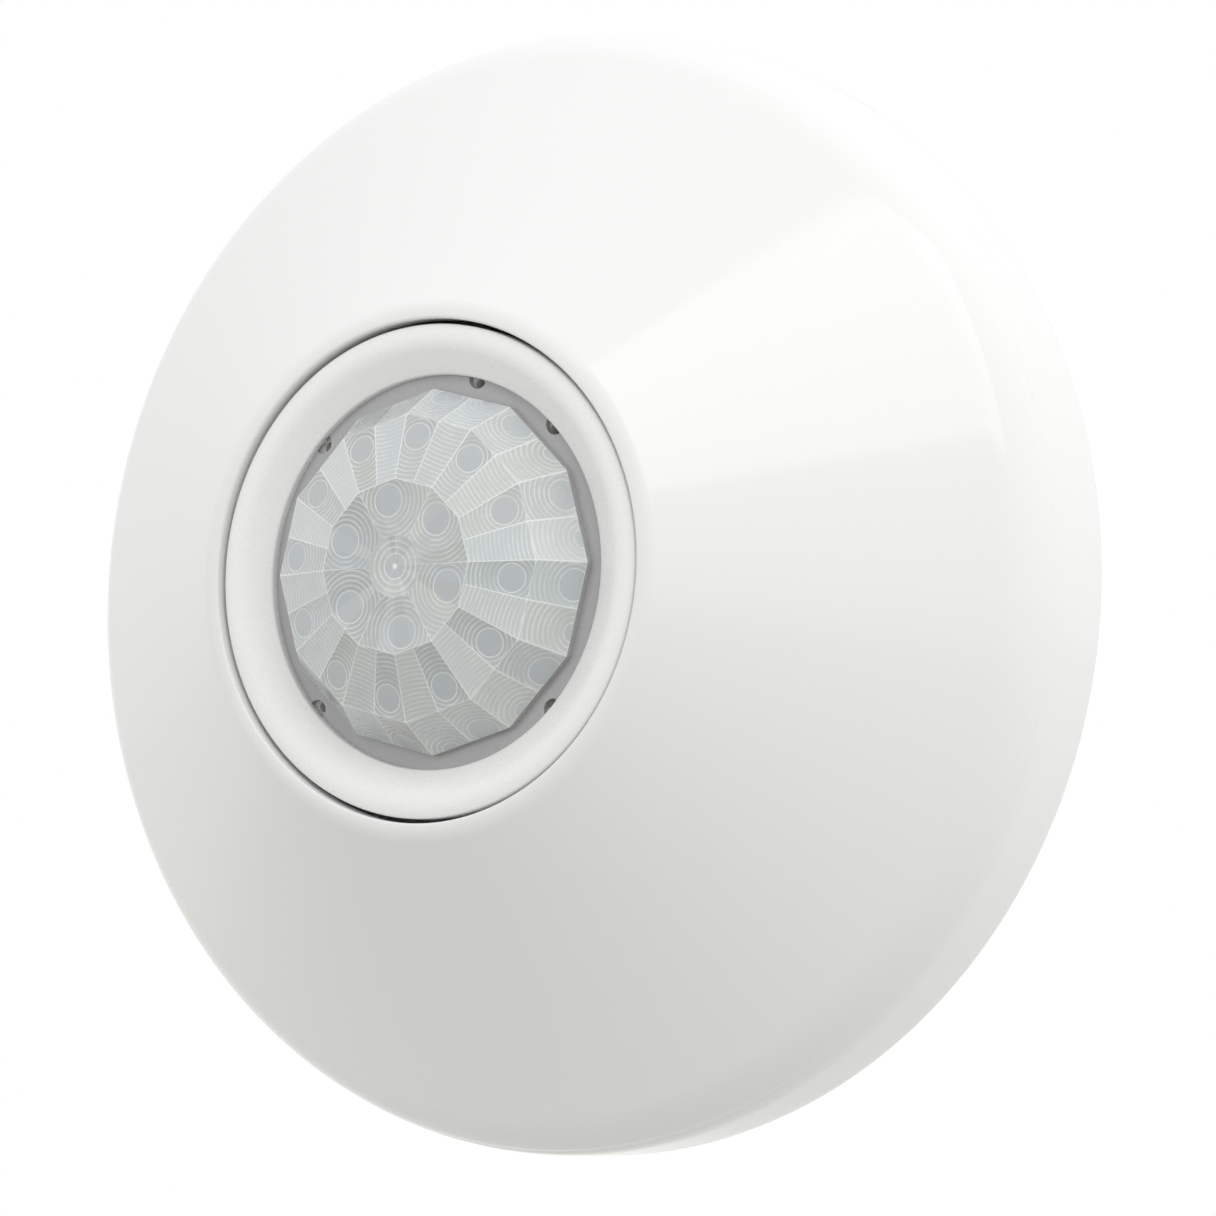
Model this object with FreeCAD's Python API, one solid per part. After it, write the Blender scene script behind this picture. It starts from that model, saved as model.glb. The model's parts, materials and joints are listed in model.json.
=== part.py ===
"""Round surface-mount motion sensor: conical pull-off cover, dished lens ring, faceted Fresnel lens,
inner housing with two circuit boards, and a back plate that screws to a wall or ceiling box.

Every piece is drawn on the bench, lying on its mounting face with the lens up: x and y across the
face, and height above it.  save() then stands the piece up, so that in the finished frame the
mounting face is the plane y = 0, the lens looks along -Y and +Z is up.  All lengths are millimetres.
"""
import FreeCAD
import Part
import math
import os
from FreeCAD import Placement, Rotation, Vector

# ---------------------------------------------------------------- driving dimensions
COVER_RADIUS = 57.8
TOTAL_DEPTH = 39.4
COVER_WALL = 2.2
COVER_RIM_HEIGHT = 0.2        # rim of the cover above the mounting face
SKIRT_HEIGHT = 7.2            # where the straight skirt turns into the shoulder
SHOULDER_RADIUS = 9.0         # round between the skirt and the cone
CROWN_RADIUS = 3.0            # round between the cone and the opening
COVER_TOP = 34.75
OPENING_RADIUS = 25.1
OPENING_EDGE_RADIUS = 0.25
RIB_COUNT = 8                 # stiffening ribs under the cone
RIB_LOW = 11.0
RIB_INNER = 39.5
RIB_OUTER = 54.6
RIB_WALL = 1.2
RIB_ROOT = 0.5                # depth of a rib's root in the skin
PAD_LOW = 2.2                 # snap pads on the inside of the skirt
PAD_HIGH = 4.2
PAD_ROOT = 0.5
PAD_PLAY = 0.5                # between a pad and the plate's rim

RING_RADIUS = 24.65
RING_FOOT = 20.0
RING_TOP = 34.3
RING_CREST_RADIUS = 3.0       # round top of the ring
RING_EDGE_RADIUS = 0.3
DISH_SLOPE = 30.0             # slope of the dish down to the lip, degrees
LIP_RADIUS = 19.7
LIP_TOP = 32.75
LIP_UNDERSIDE = 31.9
LIP_EDGE_RADIUS = 0.35

LENS_SIDES = 12
LENS_WALL = 0.6
LENS_TOP_RADIUS = 8.72        # corner radii of the three rings of the dome
LENS_MID_RADIUS = 15.35
LENS_FOOT_RADIUS = 18.3
LENS_MID_HEIGHT = 37.4
LENS_FOOT_HEIGHT = 32.75
LENS_FLANGE_RADIUS = 21.6
LENS_FLANGE_WALL = 0.7
PEG_ANGLES = (45.0, 76.0, 135.5, 222.0, 314.0)
PEG_HOLE_CIRCLE = 19.7
PEG_HOLE_RADIUS = 1.05
PEG_CIRCLE = 20.2             # each peg sits in the outer half of its hole, under the lip
PEG_RADIUS = 0.5
RELIEF_CIRCLE = 19.1          # drain holes through the retainer, inside the pegs
RELIEF_RADIUS = 0.58
FLANGE_POCKET_PLAY = 0.15     # radial play of the lens flange in the ring
SEAT_PLAY = 0.05              # gap between the ring's seat and the top of the turret
PEG_HEADROOM = 0.05

PLATE_RADIUS = 53.5
PLATE_WALL = 2.5
PLATE_RIM_WALL = 2.1
PLATE_RIM_HEIGHT = 7.5
SLOT_SPACING = 86.1           # between the 83.3 and 88.9 mm of common boxes
SLOT_LENGTH = 9.0
SLOT_WIDTH = 4.6
WIRE_ENTRY_Y = -44.2
WIRE_ENTRY_LENGTH = 24.0
WIRE_ENTRY_WIDTH = 9.0
KNOCKOUT_RADIUS = 11.0
KNOCKOUT_GROOVE = 0.8
KNOCKOUT_DEPTH = 1.7
POCKET_INNER = 15.5
POCKET_OUTER = 26.5
POCKET_DEPTH = 0.9
POCKET_COUNT = 8
POCKET_BRIDGE = 4.0           # web left between two pockets
CATCH_ANGLES = (45.0, 135.0, 225.0, 315.0)
CATCH_WIDTH = 12.0
BEAD_REACH = 0.35             # how far a bead of the plate stands out under a snap pad
BEAD_HEIGHTS = (4.7, 5.1, 5.6, 6.2)
GROOVE_DEPTH = 0.5            # groove that locates the inner housing
PLATE_RIB_TOP = 4.5
SLOT_PAD_TOP = 3.3
PLATE_SINK = 0.2              # raised features are rooted this deep in the plate

DRUM_RADIUS = 36.5            # lower, wide part of the inner housing
HOUSING_WALL = 1.8
DRUM_TOP = 19.5
TURRET_RADIUS = 22.95         # upper, narrow part that carries the lens ring
TURRET_BORE = 21.0
TURRET_TOP = 28.4
CLIP_ANGLES = (30.0, 150.0, 270.0)
CLIP_WIDTH = 6.0
CLIP_LOW = 22.0               # windows of the ring; the bumps are smaller by a play
CLIP_HIGH = 24.4
CLIP_PLAY = 0.2
CLIP_BUMP = 0.9

BOARD_WALL = 1.6
MAIN_BOARD_RADIUS = 33.5
MAIN_BOARD_LOW = 6.0
SENSOR_BOARD_RADIUS = 18.8
SENSOR_BOARD_LOW = 12.0

BOSS_CIRCLE = 31.3            # screws that hold the housing to the plate
BOSS_ANGLES = (5.0, 118.0, 238.0, 302.0)
BOSS_RADIUS = 2.8
HOUSING_SCREW_RADIUS = 1.3
HOUSING_SCREW_HEAD_RADIUS = 2.6
HOUSING_SCREW_HEAD = 1.5
HOUSING_SCREW_LENGTH = 11.0
STANDOFF_CIRCLE = 29.8        # screws that hold the main board to the plate
STANDOFF_ANGLES = (45.0, 135.0, 220.0, 323.0)
STANDOFF_RADIUS = 3.0
BOARD_SCREW_RADIUS = 1.1
BOARD_SCREW_HEAD_RADIUS = 2.4
BOARD_SCREW_HEAD = 1.6

BUTTON_CENTRE = (-25.5, 14.75)
BUTTON_RADIUS = 2.0
BUTTON_TOP = 21.9
BUTTON_STOP_HIGH = 13.4
SWITCH_SIDE = 6.0
SWITCH_HEIGHT = 3.5
PLUNGER_RADIUS = 1.72
PLUNGER_REACH = 1.0
DIAL_CIRCLE = 29.2
TIME_DIAL_ANGLE = 30.0
LIGHT_DIAL_ANGLE = 62.0
DIAL_RADIUS = 4.0
DIAL_SHAFT_RADIUS = 2.0
TRIMMER_SIDE = 8.0
TRIMMER_HEIGHT = 4.8

TERMINAL_COUNT = 4
TERMINAL_PITCH = 5.08
TERMINAL_DEPTH = 8.2
TERMINAL_HEIGHT = 10.2
TERMINAL_FRONT_Y = -34.2
TERMINAL_LEAD_Y = -28.2
CAGE_SIZE = (3.8, 4.6, 5.4)
CAGE_FRONT = 3.6              # from the front face to the middle of a cage
CAGE_PLAY = 0.1

CAN_RADIUS = 4.1              # metal can of the infrared detector
CAN_TOP = 19.4
CAN_FLANGE_RADIUS = 4.6
CAN_FLANGE_LOW = 15.0
CAN_WALL = 0.25

HEADER_CENTRE = (0.0, -13.2)  # pin header between the two boards
HEADER_PITCH = 2.54
HEADER_PIN = 0.64
SPACER_CIRCLE = 15.6
SPACER_ANGLES = (30.0, 150.0)
SHIELD_LEG_ANGLES = (70.0, 205.0, 335.0)
PYRO_PIN_CIRCLE = 2.54
PYRO_PIN_ANGLES = (45.0, 135.0, 225.0)
PYRO_PIN_RADIUS = 0.23
LED_CENTRE = (9.0, -6.0)
PHOTOCELL_CENTRE = (-9.0, -6.0)
LEAD_RADIUS = 0.25
LEAD_TAIL = 1.2               # how far soldered leads stand out under a board
INDICATOR_PITCH = 2.54        # lead spacings
CAPACITOR_PITCH = 3.5
INDUCTOR_PITCH = 5.0
FILM_PITCH = 10.0
LEG_PITCH = 1.27
RELAY_CENTRE = (-26.0, 0.0)
RELAY_SIZE = (10.2, 19.6, 9.6)
CAPACITOR_CENTRE = (-2.2, 27.2)
INDUCTOR_CENTRE = (23.6, -10.2)
FILM_CENTRE = (0.0, -22.8)
SMALL_CAPACITOR_CENTRES = ((-11.2, -21.4), (11.2, -21.4), (22.0, 4.6))
REGULATOR_CENTRE = (24.6, -2.6)

RUNNING_CLEARANCE = 0.05      # radial clearance of a turning or sliding shaft
LOOSE_CLEARANCE = 0.1         # between parts that are pushed together
TOUCH_CLEARANCE = 0.02        # between a fastener and its hole
PAST = 1.0                    # how far a cutting tool reaches past the piece it cuts

# ---------------------------------------------------------------- derived heights
SHOULDER_CENTRE = (COVER_RADIUS - SHOULDER_RADIUS, SKIRT_HEIGHT)
CROWN_CENTRE = (OPENING_RADIUS + OPENING_EDGE_RADIUS, COVER_TOP - CROWN_RADIUS)
MAIN_BOARD_TOP = MAIN_BOARD_LOW + BOARD_WALL
SENSOR_BOARD_TOP = SENSOR_BOARD_LOW + BOARD_WALL
DRUM_CEILING = DRUM_TOP - HOUSING_WALL
PLATE_GROOVE = PLATE_WALL - GROOVE_DEPTH
LENS_FLANGE_LOW = LIP_UNDERSIDE - LENS_FLANGE_WALL
SHIELD_LOW = 17.8
SHIELD_WALL = 1.0

UP = Vector(0, 0, 1)


# ---------------------------------------------------------------- drawing helpers
def polar(radius, angle):
    """Point (x, y) at a radius and an angle in degrees."""
    turn = math.radians(angle)
    return radius * math.cos(turn), radius * math.sin(turn)


def cylinder(radius, low, high, centre=(0.0, 0.0)):
    """Upright cylinder between two heights."""
    return Part.makeCylinder(radius, high - low, Vector(centre[0], centre[1], low))


def tube(outer, inner, low, high, centre=(0.0, 0.0)):
    """Upright ring between two heights."""
    return cylinder(outer, low, high, centre).cut(cylinder(inner, low - PAST, high + PAST, centre))


def cone(low_radius, high_radius, low, high, centre=(0.0, 0.0)):
    """Upright truncated cone between two heights."""
    return Part.makeCone(low_radius, high_radius, high - low, Vector(centre[0], centre[1], low))


def block(size_x, size_y, low, high, centre=(0.0, 0.0), angle=0.0):
    """Upright box about a centre, turned by an angle about its own middle."""
    shape = Part.makeBox(size_x, size_y, high - low, Vector(-size_x / 2, -size_y / 2, low))
    shape.Placement = Placement(Vector(centre[0], centre[1], 0), Rotation(UP, angle))
    return shape


def soft_block(size_x, size_y, low, high, corner, centre=(0.0, 0.0), angle=0.0):
    """Box with its four upright edges rounded."""
    shape = Part.makeBox(size_x, size_y, high - low, Vector(-size_x / 2, -size_y / 2, low))
    upright = [edge for edge in shape.Edges if abs(edge.tangentAt(edge.FirstParameter).z) > 0.99]
    shape = shape.makeFillet(corner, upright)
    shape.Placement = Placement(Vector(centre[0], centre[1], 0), Rotation(UP, angle))
    return shape


def stadium(length, width, low, high, centre=(0.0, 0.0)):
    """Slot-shaped prism: a box with round ends, long along x."""
    reach = (length - width) / 2
    middle = block(2 * reach, width, low, high, centre)
    left = cylinder(width / 2, low, high, (centre[0] - reach, centre[1]))
    right = cylinder(width / 2, low, high, (centre[0] + reach, centre[1]))
    return middle.fuse([left, right]).removeSplitter()


def spoke(inner, outer, thickness, low, high, angle):
    """Radial box between two radii."""
    return block(outer - inner, thickness, low, high, polar((inner + outer) / 2, angle), angle)


def at(point):
    """Point of a turned outline: (radius, height)."""
    return Vector(point[0], 0, point[1])


def line(start, end):
    """Straight edge of a turned outline."""
    return Part.LineSegment(at(start), at(end)).toShape()


def lines(points):
    """Straight edges through several points of a turned outline."""
    return [line(start, end) for start, end in zip(points, points[1:])]


def on_circle(centre, radius, angle):
    """Point of a turned outline on a circle, at an angle above the outward direction."""
    turn = math.radians(angle)
    return centre[0] + radius * math.cos(turn), centre[1] + radius * math.sin(turn)


def arc(centre, radius, start_angle, end_angle):
    """Round edge of a turned outline."""
    start = on_circle(centre, radius, start_angle)
    middle = on_circle(centre, radius, (start_angle + end_angle) / 2)
    end = on_circle(centre, radius, end_angle)
    return Part.Arc(at(start), at(middle), at(end)).toShape()


def turned(edges):
    """Solid of revolution about the lens axis from a closed outline."""
    return Part.Face(Part.Wire(edges)).revolve(Vector(0, 0, 0), UP, 360)


def polygon(corner_radius, height):
    """Level wire of the lens's regular polygon, with a corner on +x."""
    turns = range(LENS_SIDES)
    corners = [polar(corner_radius, 360.0 / LENS_SIDES * k) for k in turns]
    points = [Vector(x, y, height) for x, y in corners]
    return Part.makePolygon(points + points[:1])


def together(shapes):
    """One shape from pieces that touch or overlap."""
    first = shapes[0]
    if len(shapes) > 1:
        first = first.fuse(shapes[1:])
    return first.removeSplitter()


def group(shapes):
    """Separate solids that share one node."""
    solids = []
    for shape in shapes:
        solids.extend(shape.Solids)
    return Part.makeCompound(solids)


def save(name, shape):
    """Stand the piece up (lens along -Y) and write it."""
    standing = shape.copy()
    standing.rotate(Vector(0, 0, 0), Vector(1, 0, 0), 90)
    for solid in standing.Solids:
        if not solid.isValid():
            print("invalid solid in", name)
    print(f"{name:20s} solids {len(standing.Solids):3d}  volume {standing.Volume:10.2f}")
    standing.exportStep(f"parts/{name}.step")


# ---------------------------------------------------------------- cover
def cone_angle():
    """Angle above the outward direction at which the straight cone touches both of its rounds."""
    run = SHOULDER_CENTRE[0] - CROWN_CENTRE[0]
    rise = CROWN_CENTRE[1] - SHOULDER_CENTRE[1]
    turn = math.acos((CROWN_RADIUS - SHOULDER_RADIUS) / math.hypot(run, rise))
    return math.degrees(turn - math.atan2(rise, run))


def cone_height(distance, inset):
    """Height of the cone's surface, moved inward by an inset, at a distance from the lens axis."""
    turn = math.radians(cone_angle())
    reach = SHOULDER_CENTRE[0] * math.cos(turn) + SHOULDER_CENTRE[1] * math.sin(turn)
    reach += SHOULDER_RADIUS - inset
    return (reach - distance * math.cos(turn)) / math.sin(turn)


def make_cover():
    tilt = cone_angle()
    shoulder_inside = SHOULDER_RADIUS - COVER_WALL
    crown_inside = CROWN_RADIUS - COVER_WALL
    edge_centre = (CROWN_CENTRE[0], COVER_TOP - OPENING_EDGE_RADIUS)
    under_opening = (OPENING_RADIUS, COVER_TOP - COVER_WALL)
    skirt_inside = COVER_RADIUS - COVER_WALL
    edges = [
        line((COVER_RADIUS, COVER_RIM_HEIGHT), (COVER_RADIUS, SKIRT_HEIGHT)),
        arc(SHOULDER_CENTRE, SHOULDER_RADIUS, 0, tilt),
        line(on_circle(SHOULDER_CENTRE, SHOULDER_RADIUS, tilt),
             on_circle(CROWN_CENTRE, CROWN_RADIUS, tilt)),
        arc(CROWN_CENTRE, CROWN_RADIUS, tilt, 90),
        arc(edge_centre, OPENING_EDGE_RADIUS, 90, 180),
        line((OPENING_RADIUS, edge_centre[1]), under_opening),
        line(under_opening, (CROWN_CENTRE[0], under_opening[1])),
        arc(CROWN_CENTRE, crown_inside, 90, tilt),
        line(on_circle(CROWN_CENTRE, crown_inside, tilt),
             on_circle(SHOULDER_CENTRE, shoulder_inside, tilt)),
        arc(SHOULDER_CENTRE, shoulder_inside, tilt, 0),
        line((skirt_inside, SKIRT_HEIGHT), (skirt_inside, COVER_RIM_HEIGHT)),
        line((skirt_inside, COVER_RIM_HEIGHT), (COVER_RADIUS, COVER_RIM_HEIGHT)),
    ]
    shell = turned(edges)

    # stiffening ribs under the cone, rooted in the skin
    rib_space = turned(lines([
        (RIB_INNER, RIB_LOW),
        (RIB_OUTER, RIB_LOW),
        on_circle(SHOULDER_CENTRE, shoulder_inside + RIB_ROOT, tilt),
        (RIB_INNER, cone_height(RIB_INNER, COVER_WALL - RIB_ROOT)),
        (RIB_INNER, RIB_LOW),
    ]))
    step = 360.0 / RIB_COUNT
    ribs = [spoke(RIB_INNER, COVER_RADIUS, RIB_WALL, RIB_LOW, COVER_TOP, step * (k + 0.5)).common(rib_space)
            for k in range(RIB_COUNT)]

    # snap pads that grip the beads of the back plate
    pad_ring = tube(skirt_inside + PAD_ROOT, PLATE_RADIUS + PAD_PLAY, PAD_LOW, PAD_HIGH)
    pads = [spoke(PLATE_RADIUS, COVER_RADIUS, CATCH_WIDTH, COVER_RIM_HEIGHT, SKIRT_HEIGHT,
                  angle).common(pad_ring) for angle in CATCH_ANGLES]
    save("cover", together([shell] + ribs + pads))


# ---------------------------------------------------------------- lens ring, lens and retainer
def make_lens_ring():
    foot = RING_FOOT
    seat = TURRET_TOP + SEAT_PLAY
    pocket = LENS_FLANGE_RADIUS + FLANGE_POCKET_PLAY
    skirt_inside = TURRET_RADIUS + LOOSE_CLEARANCE

    # the dish rises from the lip at its slope, rolls over the crest and ends in a small outer edge
    slope = math.radians(DISH_SLOPE)
    lip_centre = (LIP_RADIUS + LIP_EDGE_RADIUS, LIP_TOP - LIP_EDGE_RADIUS)
    dish_foot = on_circle(lip_centre, LIP_EDGE_RADIUS, 90 + DISH_SLOPE)
    crest_low = RING_TOP - RING_CREST_RADIUS
    dish_rise = crest_low + RING_CREST_RADIUS * math.cos(slope) - dish_foot[1]
    dish_end = (dish_foot[0] + dish_rise / math.tan(slope), dish_foot[1] + dish_rise)
    crest_centre = (dish_end[0] + RING_CREST_RADIUS * math.sin(slope), crest_low)
    edge_x = RING_RADIUS - RING_EDGE_RADIUS
    roll = math.degrees(math.acos((edge_x - crest_centre[0]) / (RING_CREST_RADIUS - RING_EDGE_RADIUS)))
    edge_centre = on_circle(crest_centre, RING_CREST_RADIUS - RING_EDGE_RADIUS, roll)
    edges = [
        line((RING_RADIUS, foot), (RING_RADIUS, edge_centre[1])),
        arc(edge_centre, RING_EDGE_RADIUS, 0, roll),
        arc(crest_centre, RING_CREST_RADIUS, roll, 90 + DISH_SLOPE),
        line(dish_end, dish_foot),
        arc(lip_centre, LIP_EDGE_RADIUS, 90 + DISH_SLOPE, 180),
    ]
    edges += lines([
        (LIP_RADIUS, lip_centre[1]),
        (LIP_RADIUS, LIP_UNDERSIDE),
        (pocket, LIP_UNDERSIDE),
        (pocket, seat),
        (skirt_inside, seat),
        (skirt_inside, foot),
        (RING_RADIUS, foot),
    ])
    ring = turned(edges)
    windows = [spoke(TURRET_RADIUS - PAST, RING_RADIUS + PAST, CLIP_WIDTH, CLIP_LOW, CLIP_HIGH, angle)
               for angle in CLIP_ANGLES]
    save("lens_ring", ring.cut(windows))


def offset_corner(before, corner, after, distance):
    """Corner of a polyline moved inward: where its two neighbouring edges, each moved square to
    itself by the distance, cross."""
    def moved(start, end):
        run, rise = end[0] - start[0], end[1] - start[1]
        length = math.hypot(run, rise)
        return (start[0] + rise / length * distance, start[1] - run / length * distance), (run, rise)

    (ax, ay), (ux, uy) = moved(before, corner)
    (bx, by), (vx, vy) = moved(corner, after)
    share = ((bx - ax) * vy - (by - ay) * vx) / (ux * vy - uy * vx)
    return ax + ux * share, ay + uy * share


def lens_outline():
    """Dome outline as (distance of the polygon's flats from the axis, height), top first."""
    flat = math.cos(math.pi / LENS_SIDES)
    return [
        (0.0, TOTAL_DEPTH),
        (LENS_TOP_RADIUS * flat, TOTAL_DEPTH),
        (LENS_MID_RADIUS * flat, LENS_MID_HEIGHT),
        (LENS_FOOT_RADIUS * flat, LENS_FOOT_HEIGHT),
        (LENS_FOOT_RADIUS * flat, LENS_FLANGE_LOW - PAST),
    ]


def make_fresnel_lens():
    flat = math.cos(math.pi / LENS_SIDES)
    outline = lens_outline()
    inner = [offset_corner(*outline[k - 1:k + 2], LENS_WALL) for k in (1, 2, 3)]
    inner.append((inner[-1][0], LENS_FLANGE_LOW - PAST))
    dome_wires = [polygon(distance / flat, height) for distance, height in outline[1:]]
    hollow_wires = [polygon(distance / flat, height) for distance, height in inner]
    dome = Part.makeLoft(dome_wires, True, True)
    hollow = Part.makeLoft(hollow_wires, True, True)
    flange = cylinder(LENS_FLANGE_RADIUS, LENS_FLANGE_LOW, LIP_UNDERSIDE)
    below = cylinder(LENS_FLANGE_RADIUS, LENS_FLANGE_LOW - 2 * PAST, LENS_FLANGE_LOW)
    holes = [cylinder(PEG_HOLE_RADIUS, LENS_FLANGE_LOW - PAST, LIP_UNDERSIDE + PAST,
                      polar(PEG_HOLE_CIRCLE, angle)) for angle in PEG_ANGLES]
    outer = dome.fuse(flange)
    save("fresnel_lens", outer.cut([hollow, below] + holes).removeSplitter())


def make_lens_retainer():
    ring = tube(LENS_FLANGE_RADIUS, LENS_FOOT_RADIUS - 0.1, TURRET_TOP, LENS_FLANGE_LOW)
    pegs = [cylinder(PEG_RADIUS, TURRET_TOP + 1, LIP_UNDERSIDE - PEG_HEADROOM, polar(PEG_CIRCLE, angle))
            for angle in PEG_ANGLES]
    reliefs = [cylinder(RELIEF_RADIUS, TURRET_TOP - PAST, LIP_UNDERSIDE, polar(RELIEF_CIRCLE, angle))
               for angle in PEG_ANGLES]
    save("lens_retainer", together([ring.cut(reliefs)] + pegs))


# ---------------------------------------------------------------- inner housing
def dial_centres():
    """Centres of the time dial and the light-level dial."""
    return [polar(DIAL_CIRCLE, angle) for angle in (TIME_DIAL_ANGLE, LIGHT_DIAL_ANGLE)]


def terminal_bay(low, high, clearance):
    """Space that the terminal block takes in the housing, open to the rim and to the front."""
    length = TERMINAL_COUNT * TERMINAL_PITCH + 2 * clearance
    depth = 2 * (DRUM_RADIUS - abs(TERMINAL_FRONT_Y + TERMINAL_DEPTH) + clearance)
    return block(length, depth, low, high, (0.0, -DRUM_RADIUS))


def make_sensor_housing():
    drum = tube(DRUM_RADIUS, DRUM_RADIUS - HOUSING_WALL, PLATE_GROOVE, DRUM_TOP)
    ceiling = tube(DRUM_RADIUS, TURRET_BORE, DRUM_CEILING, DRUM_TOP)
    turret = tube(TURRET_RADIUS, TURRET_BORE, DRUM_CEILING, TURRET_TOP)
    bump_low, bump_high = CLIP_LOW + CLIP_PLAY, CLIP_HIGH - CLIP_PLAY
    bump_ring = tube(TURRET_RADIUS + CLIP_BUMP, TURRET_RADIUS - 0.5, bump_low, bump_high)
    bump_width = CLIP_WIDTH - 3 * CLIP_PLAY
    bumps = [spoke(TURRET_BORE + 0.5, RING_RADIUS, bump_width, bump_low, bump_high, angle).common(bump_ring)
             for angle in CLIP_ANGLES]
    bosses = [cylinder(BOSS_RADIUS, PLATE_WALL, DRUM_TOP, polar(BOSS_CIRCLE, angle))
              for angle in BOSS_ANGLES]
    webs = [spoke(BOSS_CIRCLE, DRUM_RADIUS - 0.5, 1.6, PLATE_WALL, DRUM_TOP, angle)
            for angle in BOSS_ANGLES]
    guide_radius = BUTTON_RADIUS + RUNNING_CLEARANCE
    guide = cylinder(guide_radius + 1.2, 14.0, DRUM_TOP + 0.4, BUTTON_CENTRE)
    dial_collars = [cylinder(DIAL_RADIUS + 1.4, DRUM_CEILING, DRUM_TOP + 0.4, centre)
                    for centre in dial_centres()]
    solid = together([drum, ceiling, turret] + bumps + bosses + webs + [guide] + dial_collars)

    pilot_depth = HOUSING_SCREW_LENGTH + 1.0
    cuts = [cylinder(HOUSING_SCREW_RADIUS + TOUCH_CLEARANCE, 0.0, pilot_depth, polar(BOSS_CIRCLE, angle))
            for angle in BOSS_ANGLES]
    cuts.append(cylinder(guide_radius, 0.0, DRUM_TOP + 5, BUTTON_CENTRE))
    cuts += [cylinder(DIAL_RADIUS + 0.2, DRUM_CEILING - 1, DRUM_TOP + 5, centre)
             for centre in dial_centres()]
    cuts.append(terminal_bay(MAIN_BOARD_TOP - 0.2, DRUM_TOP + 2, 0.3))
    vents = [spoke(DRUM_RADIUS - 3, DRUM_RADIUS + 1, 1.2, 11.0, 16.0, 180.0 + 5.0 * k)
             for k in range(-3, 4)]
    save("sensor_housing", solid.cut(cuts + vents).removeSplitter())


# ---------------------------------------------------------------- back plate and its hardware
def wire_entry(grow, low, high):
    """Slot-shaped prism of the wire entry, larger all round by an amount."""
    length = WIRE_ENTRY_LENGTH + 2 * grow
    width = WIRE_ENTRY_WIDTH + 2 * grow
    return stadium(length, width, low, high, (0.0, WIRE_ENTRY_Y))


def make_back_plate():
    disc = cylinder(PLATE_RADIUS, 0.0, PLATE_WALL)
    rim = tube(PLATE_RADIUS, PLATE_RADIUS - PLATE_RIM_WALL, PLATE_WALL, PLATE_RIM_HEIGHT)
    bead_outer = PLATE_RADIUS + BEAD_REACH
    bead_foot = PLATE_RADIUS - 0.5
    foot_low, nose_low, nose_high, foot_high = BEAD_HEIGHTS
    bead_outline = [
        (bead_foot, foot_low),
        (PLATE_RADIUS, foot_low),
        (bead_outer, nose_low),
        (bead_outer, nose_high),
        (PLATE_RADIUS, foot_high),
        (bead_foot, foot_high),
    ]
    bead_ring = turned(lines(bead_outline + bead_outline[:1]))
    beads = [spoke(bead_foot - PAST, bead_outer + PAST, CATCH_WIDTH - 1, PLATE_WALL, PLATE_RIM_HEIGHT,
                   angle).common(bead_ring) for angle in CATCH_ANGLES]
    rib_angles = [angle for angle in range(0, 360, 20) if angle not in (0, 180, 260, 280)]
    root = PLATE_WALL - PLATE_SINK
    ribs = [spoke(DRUM_RADIUS + 1.2, PLATE_RADIUS - 1, RIB_WALL, root, PLATE_RIB_TOP, angle)
            for angle in rib_angles]
    standoffs = [cylinder(STANDOFF_RADIUS, root, MAIN_BOARD_LOW, polar(STANDOFF_CIRCLE, angle))
                 for angle in STANDOFF_ANGLES]
    inside_rim = cylinder(PLATE_RADIUS - 1, 0.0, PLATE_RIM_HEIGHT)
    pads = [stadium(SLOT_LENGTH + 5, SLOT_WIDTH + 6, root, SLOT_PAD_TOP,
                    (side * (SLOT_SPACING / 2 + 0.6), 0.0)).common(inside_rim) for side in (-1, 1)]
    solid = together([disc, rim] + beads + ribs + standoffs + pads)

    cuts = [tube(DRUM_RADIUS + LOOSE_CLEARANCE, DRUM_RADIUS - HOUSING_WALL - LOOSE_CLEARANCE,
                 PLATE_GROOVE, PLATE_WALL + 3)]
    through = PLATE_RIM_HEIGHT + PAST
    cuts += [stadium(SLOT_LENGTH, SLOT_WIDTH, -PAST, through, (side * SLOT_SPACING / 2, 0.0))
             for side in (-1, 1)]
    cuts.append(wire_entry(0.0, -PAST, through))
    for angle in BOSS_ANGLES:
        centre = polar(BOSS_CIRCLE, angle)
        cuts.append(cylinder(HOUSING_SCREW_RADIUS + LOOSE_CLEARANCE, -PAST, through, centre))
        cuts.append(cylinder(HOUSING_SCREW_HEAD_RADIUS + 0.3, -PAST, HOUSING_SCREW_HEAD + 0.1, centre))
    cuts += [cylinder(BOARD_SCREW_RADIUS + TOUCH_CLEARANCE, 0.8, through, polar(STANDOFF_CIRCLE, angle))
             for angle in STANDOFF_ANGLES]
    # back face: ring groove of the conduit knock-out, and shallow pockets around it
    cuts.append(tube(KNOCKOUT_RADIUS + KNOCKOUT_GROOVE, KNOCKOUT_RADIUS, -PAST, KNOCKOUT_DEPTH))
    pocket_ring = tube(POCKET_OUTER, POCKET_INNER, -PAST, POCKET_DEPTH)
    bridges = [spoke(0.0, POCKET_OUTER + PAST, POCKET_BRIDGE, -2 * PAST, POCKET_DEPTH + PAST,
                     360.0 / POCKET_COUNT * k) for k in range(POCKET_COUNT)]
    cuts.append(pocket_ring.cut(bridges))
    save("back_plate", solid.cut(cuts).removeSplitter())


def make_wire_grommet():
    sleeve = wire_entry(-TOUCH_CLEARANCE, 0.3, PLATE_WALL + 1.2)
    flange = wire_entry(1.6, PLATE_WALL, PLATE_WALL + 1.2)
    save("wire_grommet", together([sleeve, flange]).cut(wire_entry(-1.2, -1.0, 10.0)))


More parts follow.
